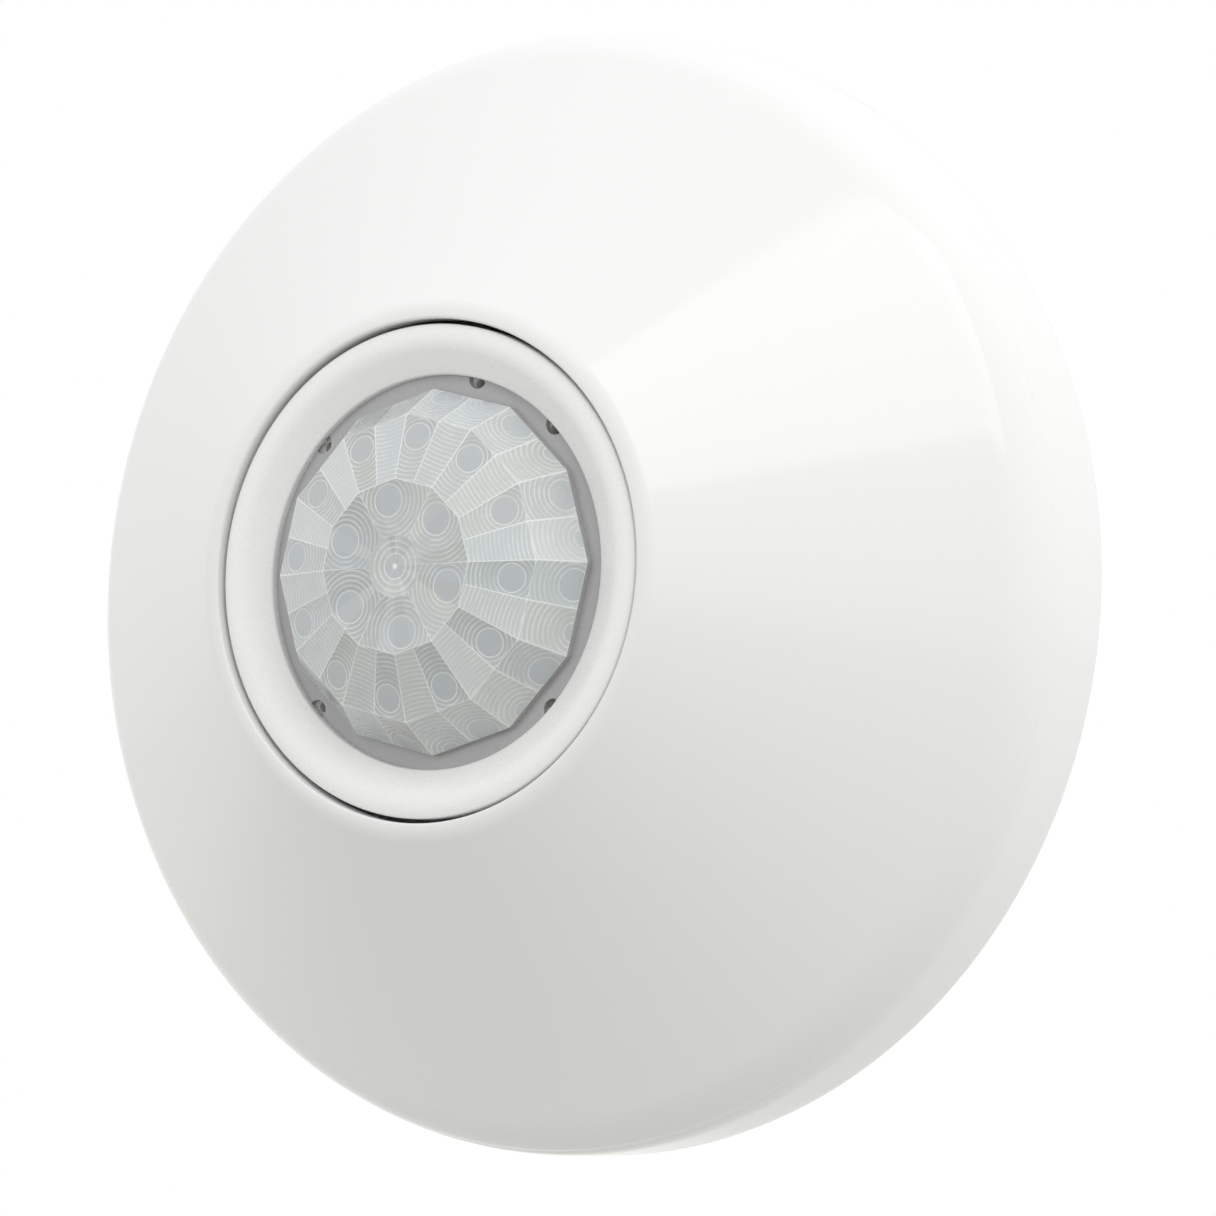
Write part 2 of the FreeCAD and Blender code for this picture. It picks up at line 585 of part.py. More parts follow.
def make_housing_screws():
    screws = []
    for angle in BOSS_ANGLES:
        centre = polar(BOSS_CIRCLE, angle)
        head = cylinder(HOUSING_SCREW_HEAD_RADIUS, 0.1, HOUSING_SCREW_HEAD + 0.1, centre)
        shank = cylinder(HOUSING_SCREW_RADIUS, HOUSING_SCREW_HEAD + 0.1, HOUSING_SCREW_LENGTH, centre)
        crosses = [block(2.8, 0.7, 0.0, 0.9, centre, turn) for turn in (angle, angle + 90)]
        screws.append(together([head, shank]).cut(crosses))
    save("housing_screws", group(screws))


def make_board_screws():
    screws = []
    for angle in STANDOFF_ANGLES:
        centre = polar(STANDOFF_CIRCLE, angle)
        head = cylinder(BOARD_SCREW_HEAD_RADIUS, MAIN_BOARD_TOP, MAIN_BOARD_TOP + BOARD_SCREW_HEAD, centre)
        shank = cylinder(BOARD_SCREW_RADIUS, 1.2, MAIN_BOARD_TOP + 0.1, centre)
        high = MAIN_BOARD_TOP + BOARD_SCREW_HEAD
        crosses = [block(2.6, 0.6, high - 0.9, high + 1, centre, turn) for turn in (angle, angle + 90)]
        screws.append(together([head, shank]).cut(crosses))
    save("board_screws", group(screws))


# ---------------------------------------------------------------- pins that the boards need holes for
def header_places():
    """Centres of the eight header pins, two rows of four."""
    x, y = HEADER_CENTRE
    return [(x + (column - 1.5) * HEADER_PITCH, y + (row - 0.5) * HEADER_PITCH)
            for column in range(4) for row in range(2)]


def relay_pin_places():
    """Centres of the relay's five pins."""
    x, y = RELAY_CENTRE
    return [(x - 3.8, y - 8.0), (x + 3.8, y - 8.0), (x - 3.8, y + 2.5), (x + 3.8, y + 2.5), (x, y + 8.0)]


def lead_pair(centre, spacing, angle=0.0):
    """Centres of two leads either side of a centre."""
    dx, dy = polar(spacing / 2, angle)
    return [(centre[0] - dx, centre[1] - dy), (centre[0] + dx, centre[1] + dy)]


def terminal_places():
    """x of each terminal."""
    return [(k - (TERMINAL_COUNT - 1) / 2) * TERMINAL_PITCH for k in range(TERMINAL_COUNT)]


def component_leads():
    """Centres of the leads of the large capacitor, the inductor and the film capacitor."""
    places = lead_pair(CAPACITOR_CENTRE, CAPACITOR_PITCH)
    places += lead_pair(INDUCTOR_CENTRE, INDUCTOR_PITCH, 90.0)
    return places + lead_pair(FILM_CENTRE, FILM_PITCH)


def main_board_leads():
    """Centres of the round leads that are soldered through the main board."""
    places = component_leads()
    places += [(x, TERMINAL_LEAD_Y) for x in terminal_places()]
    return places


def make_main_board():
    disc = cylinder(MAIN_BOARD_RADIUS, MAIN_BOARD_LOW, MAIN_BOARD_TOP)
    low, high = MAIN_BOARD_LOW - 1, MAIN_BOARD_TOP + 1
    cuts = [cylinder(BOSS_RADIUS + 0.5, low, high, polar(BOSS_CIRCLE, angle)) for angle in BOSS_ANGLES]
    cuts += [spoke(BOSS_CIRCLE, MAIN_BOARD_RADIUS + 2, 2 * BOSS_RADIUS + 1, low, high, angle)
             for angle in BOSS_ANGLES]
    cuts += [cylinder(BOARD_SCREW_RADIUS + 0.15, low, high, polar(STANDOFF_CIRCLE, angle))
             for angle in STANDOFF_ANGLES]
    cuts += [block(HEADER_PIN + 0.1, HEADER_PIN + 0.1, low, high, centre) for centre in header_places()]
    cuts += [cylinder(1.25, low, high, polar(SPACER_CIRCLE, angle)) for angle in SPACER_ANGLES]
    cuts += [cylinder(0.55, low, high, centre) for centre in relay_pin_places()]
    cuts += [cylinder(LEAD_RADIUS + 0.15, low, high, centre) for centre in main_board_leads()]
    save("main_board", disc.cut(cuts))


def make_sensor_board():
    disc = cylinder(SENSOR_BOARD_RADIUS, SENSOR_BOARD_LOW, SENSOR_BOARD_TOP)
    low, high = SENSOR_BOARD_LOW - 1, SENSOR_BOARD_TOP + 1
    cuts = [block(HEADER_PIN + 0.1, HEADER_PIN + 0.1, low, high, centre) for centre in header_places()]
    cuts += [cylinder(1.25, low, high, polar(SPACER_CIRCLE, angle)) for angle in SPACER_ANGLES]
    cuts += [cylinder(PYRO_PIN_RADIUS + 0.1, low, high, polar(PYRO_PIN_CIRCLE, angle))
             for angle in PYRO_PIN_ANGLES]
    for centre in (LED_CENTRE, PHOTOCELL_CENTRE):
        cuts += [cylinder(LEAD_RADIUS + 0.1, low, high, place)
                 for place in lead_pair(centre, INDICATOR_PITCH)]
    save("sensor_board", disc.cut(cuts))


def make_header():
    size_x, size_y = 4 * HEADER_PITCH, 2 * HEADER_PITCH
    strip = soft_block(size_x, size_y, MAIN_BOARD_TOP, SENSOR_BOARD_LOW, 0.4, HEADER_CENTRE)
    holes = [block(HEADER_PIN, HEADER_PIN, 0.0, 20.0, centre) for centre in header_places()]
    save("board_header", strip.cut(holes))
    low, high = MAIN_BOARD_LOW - 1.4, SENSOR_BOARD_TOP + 1.2
    save("header_pins", group([block(HEADER_PIN, HEADER_PIN, low, high, centre)
                               for centre in header_places()]))


def make_board_spacers():
    spacers = []
    for angle in SPACER_ANGLES:
        centre = polar(SPACER_CIRCLE, angle)
        sleeve = cylinder(2.1, MAIN_BOARD_TOP, SENSOR_BOARD_LOW, centre)
        stem = cylinder(1.2, MAIN_BOARD_LOW - 0.2, SENSOR_BOARD_TOP + 0.2, centre)
        top_snap = cone(1.6, 0.8, SENSOR_BOARD_TOP, SENSOR_BOARD_TOP + 1.6, centre)
        low_snap = cone(0.8, 1.6, MAIN_BOARD_LOW - 1.6, MAIN_BOARD_LOW, centre)
        spacers.append(together([sleeve, stem, top_snap, low_snap]))
    save("board_spacers", group(spacers))


# ---------------------------------------------------------------- parts of the main board
def make_terminal_block():
    centre_y = TERMINAL_FRONT_Y + TERMINAL_DEPTH / 2
    length = TERMINAL_COUNT * TERMINAL_PITCH
    low, high = MAIN_BOARD_TOP, MAIN_BOARD_TOP + TERMINAL_HEIGHT
    body = block(length, TERMINAL_DEPTH, low, high, (0.0, centre_y))
    slant = block(length + 2, 6.0, high - 1.6, high + 8.0, (0.0, TERMINAL_FRONT_Y - 2.0))
    cage_x, cage_depth, cage_tall = CAGE_SIZE
    cage_low = low + 1.4
    cage_high = cage_low + cage_tall
    cage_y = TERMINAL_FRONT_Y + CAGE_FRONT
    pocket_x, pocket_y = cage_x + 2 * CAGE_PLAY, cage_depth + 2 * CAGE_PLAY
    cuts = [slant]
    cages = []
    screws = []
    for x in terminal_places():
        pocket = block(pocket_x, pocket_y, cage_low - CAGE_PLAY, cage_high + CAGE_PLAY, (x, cage_y))
        port = block(3.4, 4.0, cage_low + 0.4, cage_high - 1.8, (x, TERMINAL_FRONT_Y + 1.0))
        well = cylinder(1.85, cage_high, high + 1, (x, cage_y))
        cuts += [pocket, port, well]
        cage = block(cage_x, cage_depth, cage_low, cage_high, (x, cage_y))
        wire_way = block(2.8, 6.0, cage_low + 0.5, cage_high - 1.9, (x, cage_y))
        cages.append(cage.cut([wire_way, cylinder(1.27, cage_high - 3, cage_high + 1, (x, cage_y))]))
        head = cylinder(1.75, cage_high + 0.3, cage_high + 2.1, (x, cage_y))
        shank = cylinder(1.25, cage_high - 2.6, cage_high + 0.4, (x, cage_y))
        slot = block(4.0, 0.6, cage_high + 1.3, cage_high + 3, (x, cage_y), 25.0 + 40.0 * x)
        screws.append(together([head, shank]).cut(slot))
        lead_hole = LEAD_RADIUS + TOUCH_CLEARANCE
        cuts.append(cylinder(lead_hole, low - PAST, low + 1.3, (x, TERMINAL_LEAD_Y)))
    save("terminal_block", body.cut(cuts))
    save("terminal_cages", group(cages))
    save("terminal_screws", group(screws))


def make_relay():
    size_x, size_y, height = RELAY_SIZE
    low = MAIN_BOARD_TOP + 0.3
    shell = soft_block(size_x, size_y, low, MAIN_BOARD_TOP + height, 0.8, RELAY_CENTRE)
    sockets = [block(0.7, 0.5, low - 1, low + 1.0, centre) for centre in relay_pin_places()]
    save("relay", shell.cut(sockets))
    save("relay_pins", group([block(0.66, 0.46, MAIN_BOARD_LOW - 1.2, low + 0.95, centre)
                              for centre in relay_pin_places()]))


def make_capacitors():
    low, high = MAIN_BOARD_TOP + 0.2, MAIN_BOARD_TOP + 9.4
    groove = tube(5.0, 3.7, low + 1.0, low + 1.7, CAPACITOR_CENTRE)
    can = cylinder(4.0, low, high, CAPACITOR_CENTRE)
    crosses = [block(5.0, 0.3, high - 0.25, high + 1, CAPACITOR_CENTRE, turn) for turn in (45, 135)]
    save("large_capacitor", can.cut([groove] + crosses))
    small = []
    for centre in SMALL_CAPACITOR_CENTRES:
        body = cylinder(2.2, MAIN_BOARD_TOP + 0.8, MAIN_BOARD_TOP + 5.4, centre)
        foot = block(4.6, 4.6, MAIN_BOARD_TOP, MAIN_BOARD_TOP + 0.8, centre)
        small.append(together([body, foot]))
    save("small_capacitors", group(small))
    film = soft_block(13.0, 4.6, MAIN_BOARD_TOP + 0.2, MAIN_BOARD_TOP + 8.8, 0.5, FILM_CENTRE)
    save("film_capacitor", film)


def make_inductor():
    low = MAIN_BOARD_TOP + 0.2
    foot = cylinder(4.4, low, low + 1.4, INDUCTOR_CENTRE)
    waist = cylinder(2.4, low, low + 7.4, INDUCTOR_CENTRE)
    head = cylinder(4.4, low + 6.0, low + 7.4, INDUCTOR_CENTRE)
    save("inductor_core", together([foot, waist, head]))
    save("inductor_winding", tube(4.0, 2.4 + TOUCH_CLEARANCE, low + 1.42, low + 5.98, INDUCTOR_CENTRE))


def make_leads():
    """Soldered leads of the capacitor, inductor, film capacitor and terminals."""
    low = MAIN_BOARD_LOW - LEAD_TAIL
    leads = [cylinder(LEAD_RADIUS, low, MAIN_BOARD_TOP + 0.2, centre) for centre in component_leads()]
    leads += [cylinder(LEAD_RADIUS, low, MAIN_BOARD_TOP + 1.2, (x, TERMINAL_LEAD_Y))
              for x in terminal_places()]
    save("solder_leads", group(leads))


def chip(centre, size_x, size_y, height, surface, leg_pairs, angle):
    """Moulded chip with gull-wing legs: returns the body and the list of legs."""
    body = block(size_x, size_y, surface + 0.15, surface + 0.15 + height, centre, angle)
    legs = []
    for k in range(leg_pairs):
        along = (k - (leg_pairs - 1) / 2) * LEG_PITCH
        for side in (-1, 1):
            foot = block(0.45, 0.9, surface, surface + 0.2, (along, side * (size_y / 2 + 0.75)))
            wall = block(0.45, 0.2, surface, surface + 0.8, (along, side * (size_y / 2 + 0.4)))
            arm = block(0.45, 0.4, surface + 0.6, surface + 0.8, (along, side * (size_y / 2 + 0.2)))
            leg = together([foot, wall, arm])
            leg.rotate(Vector(0, 0, 0), UP, angle)
            leg.translate(Vector(centre[0], centre[1], 0))
            legs.append(leg)
    return body, legs


def make_chips():
    main_body, main_legs = chip((1.0, -1.0), 8.7, 3.9, 1.5, MAIN_BOARD_TOP, 7, 0.0)
    processor_body, processor_legs = chip((0.0, 9.6), 10.0, 5.3, 1.7, SENSOR_BOARD_TOP, 7, 0.0)
    driver_body, driver_legs = chip((-12.5, -13.0), 4.9, 3.9, 1.5, MAIN_BOARD_TOP, 4, 40.0)
    save("board_chips", group([main_body, processor_body, driver_body]))
    save("chip_legs", group(main_legs + processor_legs + driver_legs))


def make_regulator():
    x, y = REGULATOR_CENTRE
    body = block(6.1, 5.4, MAIN_BOARD_TOP, MAIN_BOARD_TOP + 2.3, REGULATOR_CENTRE)
    tab = block(1.0, 4.6, MAIN_BOARD_TOP, MAIN_BOARD_TOP + 0.5, (x + 3.55, y))
    save("regulator", together([body, tab]))


def make_surface_resistors():
    """Small surface-mount resistors in rows, soldered flat on both boards."""
    chips = []
    rows = (
        (MAIN_BOARD_TOP, (-6.0, 8.0), (1.0, 0.0), 6, 2.6),
        (MAIN_BOARD_TOP, (-6.0, -7.0), (1.0, 0.0), 6, 2.6),
        (MAIN_BOARD_TOP, (19.0, -3.5), (0.0, 1.0), 3, 2.4),
        (SENSOR_BOARD_TOP, (-14.0, -3.0), (0.0, 1.0), 3, 2.4),
        (SENSOR_BOARD_TOP, (14.0, -3.0), (0.0, 1.0), 3, 2.4),
        (SENSOR_BOARD_TOP, (-2.6, -9.0), (1.0, 0.0), 3, 2.6),
    )
    for surface, start, direction, count, pitch in rows:
        for k in range(count):
            centre = (start[0] + direction[0] * pitch * k, start[1] + direction[1] * pitch * k)
            chips.append(block(1.2, 2.0, surface, surface + 0.55, centre, 90.0 * direction[1]))
    save("surface_resistors", group(chips))


# ---------------------------------------------------------------- adjusters and button
def make_trimmers():
    low, high = MAIN_BOARD_TOP, MAIN_BOARD_TOP + TRIMMER_HEIGHT
    bodies = []
    for angle in (TIME_DIAL_ANGLE, LIGHT_DIAL_ANGLE):
        centre = polar(DIAL_CIRCLE, angle)
        body = soft_block(TRIMMER_SIDE, TRIMMER_SIDE, low, high, 0.6, centre, angle)
        socket = cylinder(DIAL_SHAFT_RADIUS + RUNNING_CLEARANCE, high - 2.4, high + 1, centre)
        bodies.append(body.cut(socket))
    save("trimmer_bodies", group(bodies))


def make_dial(name, centre):
    """Fluted knob with a screwdriver slot and a pointer notch, on a shaft in its trimmer body."""
    face_low, face_high = DRUM_CEILING - 1.4, DRUM_TOP + 1.6
    shaft_low = MAIN_BOARD_TOP + TRIMMER_HEIGHT - 2.2
    shaft = cylinder(DIAL_SHAFT_RADIUS, shaft_low, face_low + 0.5, centre)
    collar = cylinder(3.0, MAIN_BOARD_TOP + TRIMMER_HEIGHT + 0.2, face_low, centre)
    knob = cylinder(DIAL_RADIUS, face_low, face_high - 0.5, centre)
    crown = cone(DIAL_RADIUS, DIAL_RADIUS - 0.5, face_high - 0.5, face_high, centre)
    slot = block(6.4, 1.1, face_high - 1.2, face_high + 1, centre, 90.0)
    pointer_end = (centre[0], centre[1] + 2.9)
    pointer = block(1.8, 1.8, face_high - 1.2, face_high + 1, pointer_end, 45.0)
    flutes = []
    for k in range(12):
        dx, dy = polar(DIAL_RADIUS + 0.35, 30.0 * k + 15.0)
        flutes.append(cylinder(0.6, face_low - 1, face_high + 1, (centre[0] + dx, centre[1] + dy)))
    save(name, together([shaft, collar, knob, crown]).cut([slot, pointer] + flutes))


def make_button():
    low = MAIN_BOARD_TOP
    body_high = low + SWITCH_HEIGHT
    well = cylinder(PLUNGER_RADIUS + RUNNING_CLEARANCE, body_high - 1.5, body_high + PAST, BUTTON_CENTRE)
    body = block(SWITCH_SIDE, SWITCH_SIDE, low, body_high, BUTTON_CENTRE)
    save("switch_body", body.cut(well))
    plunger_high = body_high + PLUNGER_REACH
    save("switch_plunger", cylinder(PLUNGER_RADIUS, body_high - 0.9, plunger_high, BUTTON_CENTRE))
    crown_low = BUTTON_TOP - 0.5
    stop = cylinder(BUTTON_RADIUS + 1.0, plunger_high, BUTTON_STOP_HIGH, BUTTON_CENTRE)
    stem = cylinder(BUTTON_RADIUS, BUTTON_STOP_HIGH - 0.4, crown_low, BUTTON_CENTRE)
    crown = cone(BUTTON_RADIUS, BUTTON_RADIUS - 0.4, crown_low, BUTTON_TOP, BUTTON_CENTRE)
    save("program_button", together([stop, stem, crown]))


# ---------------------------------------------------------------- infrared detector and optics
def make_detector():
    inside = CAN_RADIUS - CAN_WALL
    base_high = CAN_FLANGE_LOW + 0.5
    base = cylinder(CAN_FLANGE_RADIUS, CAN_FLANGE_LOW, base_high)
    tab = block(1.2, 0.9, CAN_FLANGE_LOW, base_high, polar(CAN_FLANGE_RADIUS + 0.3, 0.0))
    raised = cylinder(inside - 0.05, base_high - 0.1, base_high + 0.6)
    pins = [polar(PYRO_PIN_CIRCLE, angle) for angle in PYRO_PIN_ANGLES]
    pin_holes = [cylinder(PYRO_PIN_RADIUS, 10.0, 20.0, centre) for centre in pins]
    save("pyro_base", together([base, tab, raised]).cut(pin_holes))

    can = tube(CAN_RADIUS, inside, base_high, CAN_TOP)
    lid = cylinder(CAN_RADIUS, CAN_TOP - CAN_WALL, CAN_TOP)
    opening = block(4.0, 3.0, CAN_TOP - 2, CAN_TOP + 1)
    save("pyro_can", together([can, lid]).cut(opening))
    window_high = CAN_TOP - CAN_WALL
    save("pyro_window", block(4.8, 3.8, window_high - 0.4, window_high))

    carrier_low = base_high + 1.4
    carrier = cylinder(3.2, carrier_low, carrier_low + 0.5).cut(pin_holes)
    elements = [block(1.0, 2.0, carrier_low + 0.5, carrier_low + 0.7, (float(side), 0.0))
                for side in (-1, 1)]
    save("pyro_element", together([carrier] + elements))
    save("pyro_pins", group([cylinder(PYRO_PIN_RADIUS, SENSOR_BOARD_LOW - 1.2, carrier_low + 0.5, centre)
                             for centre in pins]))
    spacer = cylinder(CAN_FLANGE_RADIUS - 0.2, SENSOR_BOARD_TOP, CAN_FLANGE_LOW)
    save("pyro_spacer", spacer.cut(pin_holes))


def make_light_shield():
    plate = cylinder(TURRET_BORE - 0.3, SHIELD_LOW, SHIELD_LOW + SHIELD_WALL)
    collar_low = SHIELD_LOW + SHIELD_WALL - 0.1
    collar = cone(5.6, 7.4, collar_low, collar_low + 3.2).cut(cone(4.6, 6.4, collar_low, collar_low + 3.2))
    brim = tube(TURRET_BORE - 0.3, TURRET_BORE - 1.3, SHIELD_LOW, SHIELD_LOW + 3.0)
    legs = [cylinder(1.3, SENSOR_BOARD_TOP, SHIELD_LOW + 0.2, polar(SPACER_CIRCLE, angle))
            for angle in SHIELD_LEG_ANGLES]
    solid = together([plate, collar, brim] + legs)
    cuts = [
        cylinder(CAN_RADIUS + 0.3, SHIELD_LOW - 1, SHIELD_LOW + SHIELD_WALL + 1),
        cylinder(1.75, SHIELD_LOW - 1, SHIELD_LOW + SHIELD_WALL + 1, LED_CENTRE),
        cylinder(2.2, SHIELD_LOW - 1, SHIELD_LOW + SHIELD_WALL + 1, PHOTOCELL_CENTRE),
    ]
    save("light_shield", solid.cut(cuts))


def make_indicators():
    led_shoulder = SENSOR_BOARD_TOP + 4.0
    x, y = LED_CENTRE
    collar = cylinder(1.9, SENSOR_BOARD_TOP + 0.3, SENSOR_BOARD_TOP + 1.2, LED_CENTRE)
    barrel = cylinder(1.5, SENSOR_BOARD_TOP + 0.3, led_shoulder, LED_CENTRE)
    dome = Part.makeSphere(1.5, Vector(x, y, led_shoulder))
    save("status_led", together([collar, barrel, dome]))
    body = cylinder(2.5, SENSOR_BOARD_TOP + 0.3, SHIELD_LOW - 0.3, PHOTOCELL_CENTRE)
    save("photocell", body)
    places = lead_pair(LED_CENTRE, INDICATOR_PITCH) + lead_pair(PHOTOCELL_CENTRE, INDICATOR_PITCH)
    leads = [cylinder(LEAD_RADIUS, SENSOR_BOARD_LOW - LEAD_TAIL, SENSOR_BOARD_TOP + 0.3, place)
             for place in places]
    save("indicator_leads", group(leads))


def main():
    os.makedirs("parts", exist_ok=True)
    make_cover()
    make_lens_ring()
    make_fresnel_lens()
    make_lens_retainer()
    make_sensor_housing()
    make_back_plate()
    make_wire_grommet()
    make_housing_screws()
    make_board_screws()
    make_main_board()
    make_sensor_board()
    make_header()
    make_board_spacers()
    make_terminal_block()
    make_relay()
    make_capacitors()
    make_inductor()
    make_leads()
    make_chips()
    make_regulator()
    make_surface_resistors()
    make_trimmers()
    time_centre, light_centre = dial_centres()
    make_dial("time_dial", time_centre)
    make_dial("light_dial", light_centre)
    make_button()
    make_detector()
    make_light_shield()
    make_indicators()


main()
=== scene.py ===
"""Looks of the motion sensor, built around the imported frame.

Lens along -Y, +Z up, metres. The outlines below are written in millimetres as (distance from the
lens axis, height above the mounting face); height runs along -Y.
"""
import json
import math

import bmesh
import bpy
import numpy as np
from mathutils import Matrix, Vector
from mathutils.geometry import delaunay_2d_cdt


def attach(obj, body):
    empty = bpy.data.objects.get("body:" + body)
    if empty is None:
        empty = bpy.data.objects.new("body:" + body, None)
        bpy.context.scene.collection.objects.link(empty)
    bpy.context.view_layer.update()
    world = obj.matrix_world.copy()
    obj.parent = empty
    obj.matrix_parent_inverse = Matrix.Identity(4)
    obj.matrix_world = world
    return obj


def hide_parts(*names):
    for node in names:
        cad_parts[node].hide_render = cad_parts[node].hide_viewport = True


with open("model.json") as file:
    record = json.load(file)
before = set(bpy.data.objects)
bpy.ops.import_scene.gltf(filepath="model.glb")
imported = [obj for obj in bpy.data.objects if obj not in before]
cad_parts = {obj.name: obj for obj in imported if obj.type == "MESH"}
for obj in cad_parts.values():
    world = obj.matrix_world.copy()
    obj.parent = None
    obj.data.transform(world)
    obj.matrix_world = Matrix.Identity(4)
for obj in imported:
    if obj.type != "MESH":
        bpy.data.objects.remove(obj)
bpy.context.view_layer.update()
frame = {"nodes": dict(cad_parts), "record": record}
NODES = frame["nodes"]

MM = 0.001
SHARP_ANGLE = math.radians(32)
SAME_POINT = 1e-4

# ------------------------------------------------------------------ dimensions, millimetres
COVER_RADIUS, COVER_WALL, COVER_RIM, SKIRT_HEIGHT = 57.8, 2.2, 0.2, 7.2
SHOULDER_RADIUS, CROWN_RADIUS, COVER_TOP = 9.0, 3.0, 34.75
OPENING_RADIUS, OPENING_EDGE = 25.1, 0.25
RIM_EDGE = 0.3
WITNESS_ANGLE, WITNESS_DEPTH, WITNESS_WIDTH = 16.5, 0.07, 0.42
RIB_COUNT, RIB_INNER, RIB_WALL, RIB_LOW = 8, 39.5, 1.2, 11.0
PAD_ANGLES, PAD_WIDTH, PAD_INNER, PAD_LOW, PAD_HIGH = (45, 135, 225, 315), 12.0, 54.0, 2.2, 4.2
# how far the ribs and snap pads sink into the skin that they stand on
ROOT = 0.4
# how far a cutting tool reaches past what it cuts
PAST = 1.0
SHOULDER_POINTS, TURNED_COLUMNS = 65, 360

RING_RADIUS, RING_TOP, CREST_RADIUS, RING_EDGE, DISH_SLOPE = 24.65, 34.3, 3.0, 0.3, 30.0
LIP_RADIUS, LIP_TOP, LIP_UNDERSIDE, LIP_EDGE = 19.7, 32.75, 31.9, 0.35
RING_FOOT, RING_SEAT, RING_POCKET, RING_SKIRT_INSIDE = 20.0, 28.45, 21.75, 23.05
CLIP_ANGLES, CLIP_WIDTH, CLIP_LOW, CLIP_HIGH = (30, 150, 270), 6.0, 22.0, 24.4

LENS_SIDES, LENS_WALL = 12, 0.6
LENS_CORNERS = ((8.72, 39.4), (15.35, 37.4), (18.3, 32.75))
FLANGE_RADIUS, FLANGE_LOW, FLANGE_TOP = 21.6, 31.2, 31.9
PEG_ANGLES, PEG_CIRCLE, PEG_HOLE = (45.0, 76.0, 135.5, 222.0, 314.0), 19.7, 1.05


# ------------------------------------------------------------------ mesh helpers
def standing(points):
    """Points (x, y, height) in millimetres on the bench, as row points in metres."""
    points = np.asarray(points, float)
    return np.stack([points[:, 0], -points[:, 2], points[:, 1]], axis=1) * MM


def smooth_mesh(mesh):
    """Shades a mesh smooth up to its sharp edges."""
    mesh.polygons.foreach_set("use_smooth", [True] * len(mesh.polygons))
    mesh.set_sharp_from_angle(angle=SHARP_ANGLE)


def make_object(name, points, faces):
    """Mesh object from bench points and faces, shaded smooth up to its sharp edges."""
    mesh = bpy.data.meshes.new(name)
    mesh.from_pydata(standing(points).tolist(), [], [list(map(int, f)) for f in faces])
    work = bmesh.new()
    work.from_mesh(mesh)
    bmesh.ops.recalc_face_normals(work, faces=work.faces)
    work.to_mesh(mesh)
    work.free()
    smooth_mesh(mesh)
    obj = bpy.data.objects.new(name, mesh)
    bpy.context.scene.collection.objects.link(obj)
    return obj


def arc_points(centre, radius, start, end, count):
    """Points of an outline on a circle, angles in degrees above the outward direction."""
    turns = np.radians(np.linspace(start, end, count + 1))
    return [(centre[0] + radius * math.cos(t), centre[1] + radius * math.sin(t)) for t in turns]


def run_points(start, end, count):
    """Evenly spaced points on a straight run, ends included."""
    return [tuple(np.array(start) + (np.array(end) - np.array(start)) * k / count)
            for k in range(count + 1)]


def outline(*stretches):
    """One closed outline from stretches, with doubled points dropped."""
    points = []
    for stretch in stretches:
        for point in stretch:
            if not points or math.dist(points[-1], point) > SAME_POINT:
                points.append(point)
    if math.dist(points[0], points[-1]) < SAME_POINT:
        points.pop()
    return points


def lathe(name, profile, columns):
    """Closed outline turned about the lens axis."""
    profile = np.array(profile)
    turns = np.arange(columns) * 2 * math.pi / columns
    x = np.outer(np.cos(turns), profile[:, 0])
    y = np.outer(np.sin(turns), profile[:, 0])
    h = np.tile(profile[:, 1], (columns, 1))
    points = np.stack([x, y, h], axis=2).reshape(-1, 3)
    rows = len(profile)
    column, row = np.meshgrid(np.arange(columns), np.arange(rows), indexing="ij")
    after, above = (column + 1) % columns, (row + 1) % rows
    faces = np.stack([column * rows + row, after * rows + row,
                      after * rows + above, column * rows + above], axis=2).reshape(-1, 4)
    return make_object(name, points, faces)


def spoke(inner, outer, width, angle, low, high):
    """Radial block."""
    return fin([(inner, low), (outer, low), (outer, high), (inner, high)], width, angle)


def fin(profile, width, angle):
    """Closed radial fin: its side outline (distance, height), its width and where it points."""
    turn = math.radians(angle)
    out = np.array([math.cos(turn), math.sin(turn)])
    side = np.array([-out[1], out[0]]) * width / 2
    count = len(profile)
    points = []
    for offset in (-side, side):
        points += [(*(out * distance + offset), height) for distance, height in profile]
    faces = [list(range(count)), list(range(count, 2 * count))[::-1]]
    faces += [[k, count + k, count + (k + 1) % count, (k + 1) % count] for k in range(count)]
    return points, faces


def solid_object(name, solids):
    """One object from several closed solids."""
    points, faces = [], []
    for solid_points, solid_faces in solids:
        shift = len(points)
        points += list(solid_points)
        faces += [[k + shift for k in face] for face in solid_faces]
    return make_object(name, points, faces)


def carve(obj, tool, operation):
    """Applies one boolean of a tool object, which is then removed."""
    modifier = obj.modifiers.new("carve", "BOOLEAN")
    modifier.operation = operation
    modifier.solver = "EXACT"
    modifier.object = tool
    graph = bpy.context.evaluated_depsgraph_get()
    result = bpy.data.meshes.new_from_object(obj.evaluated_get(graph))
    obj.modifiers.clear()
    obj.data = result
    bpy.data.objects.remove(tool)
    smooth_mesh(result)


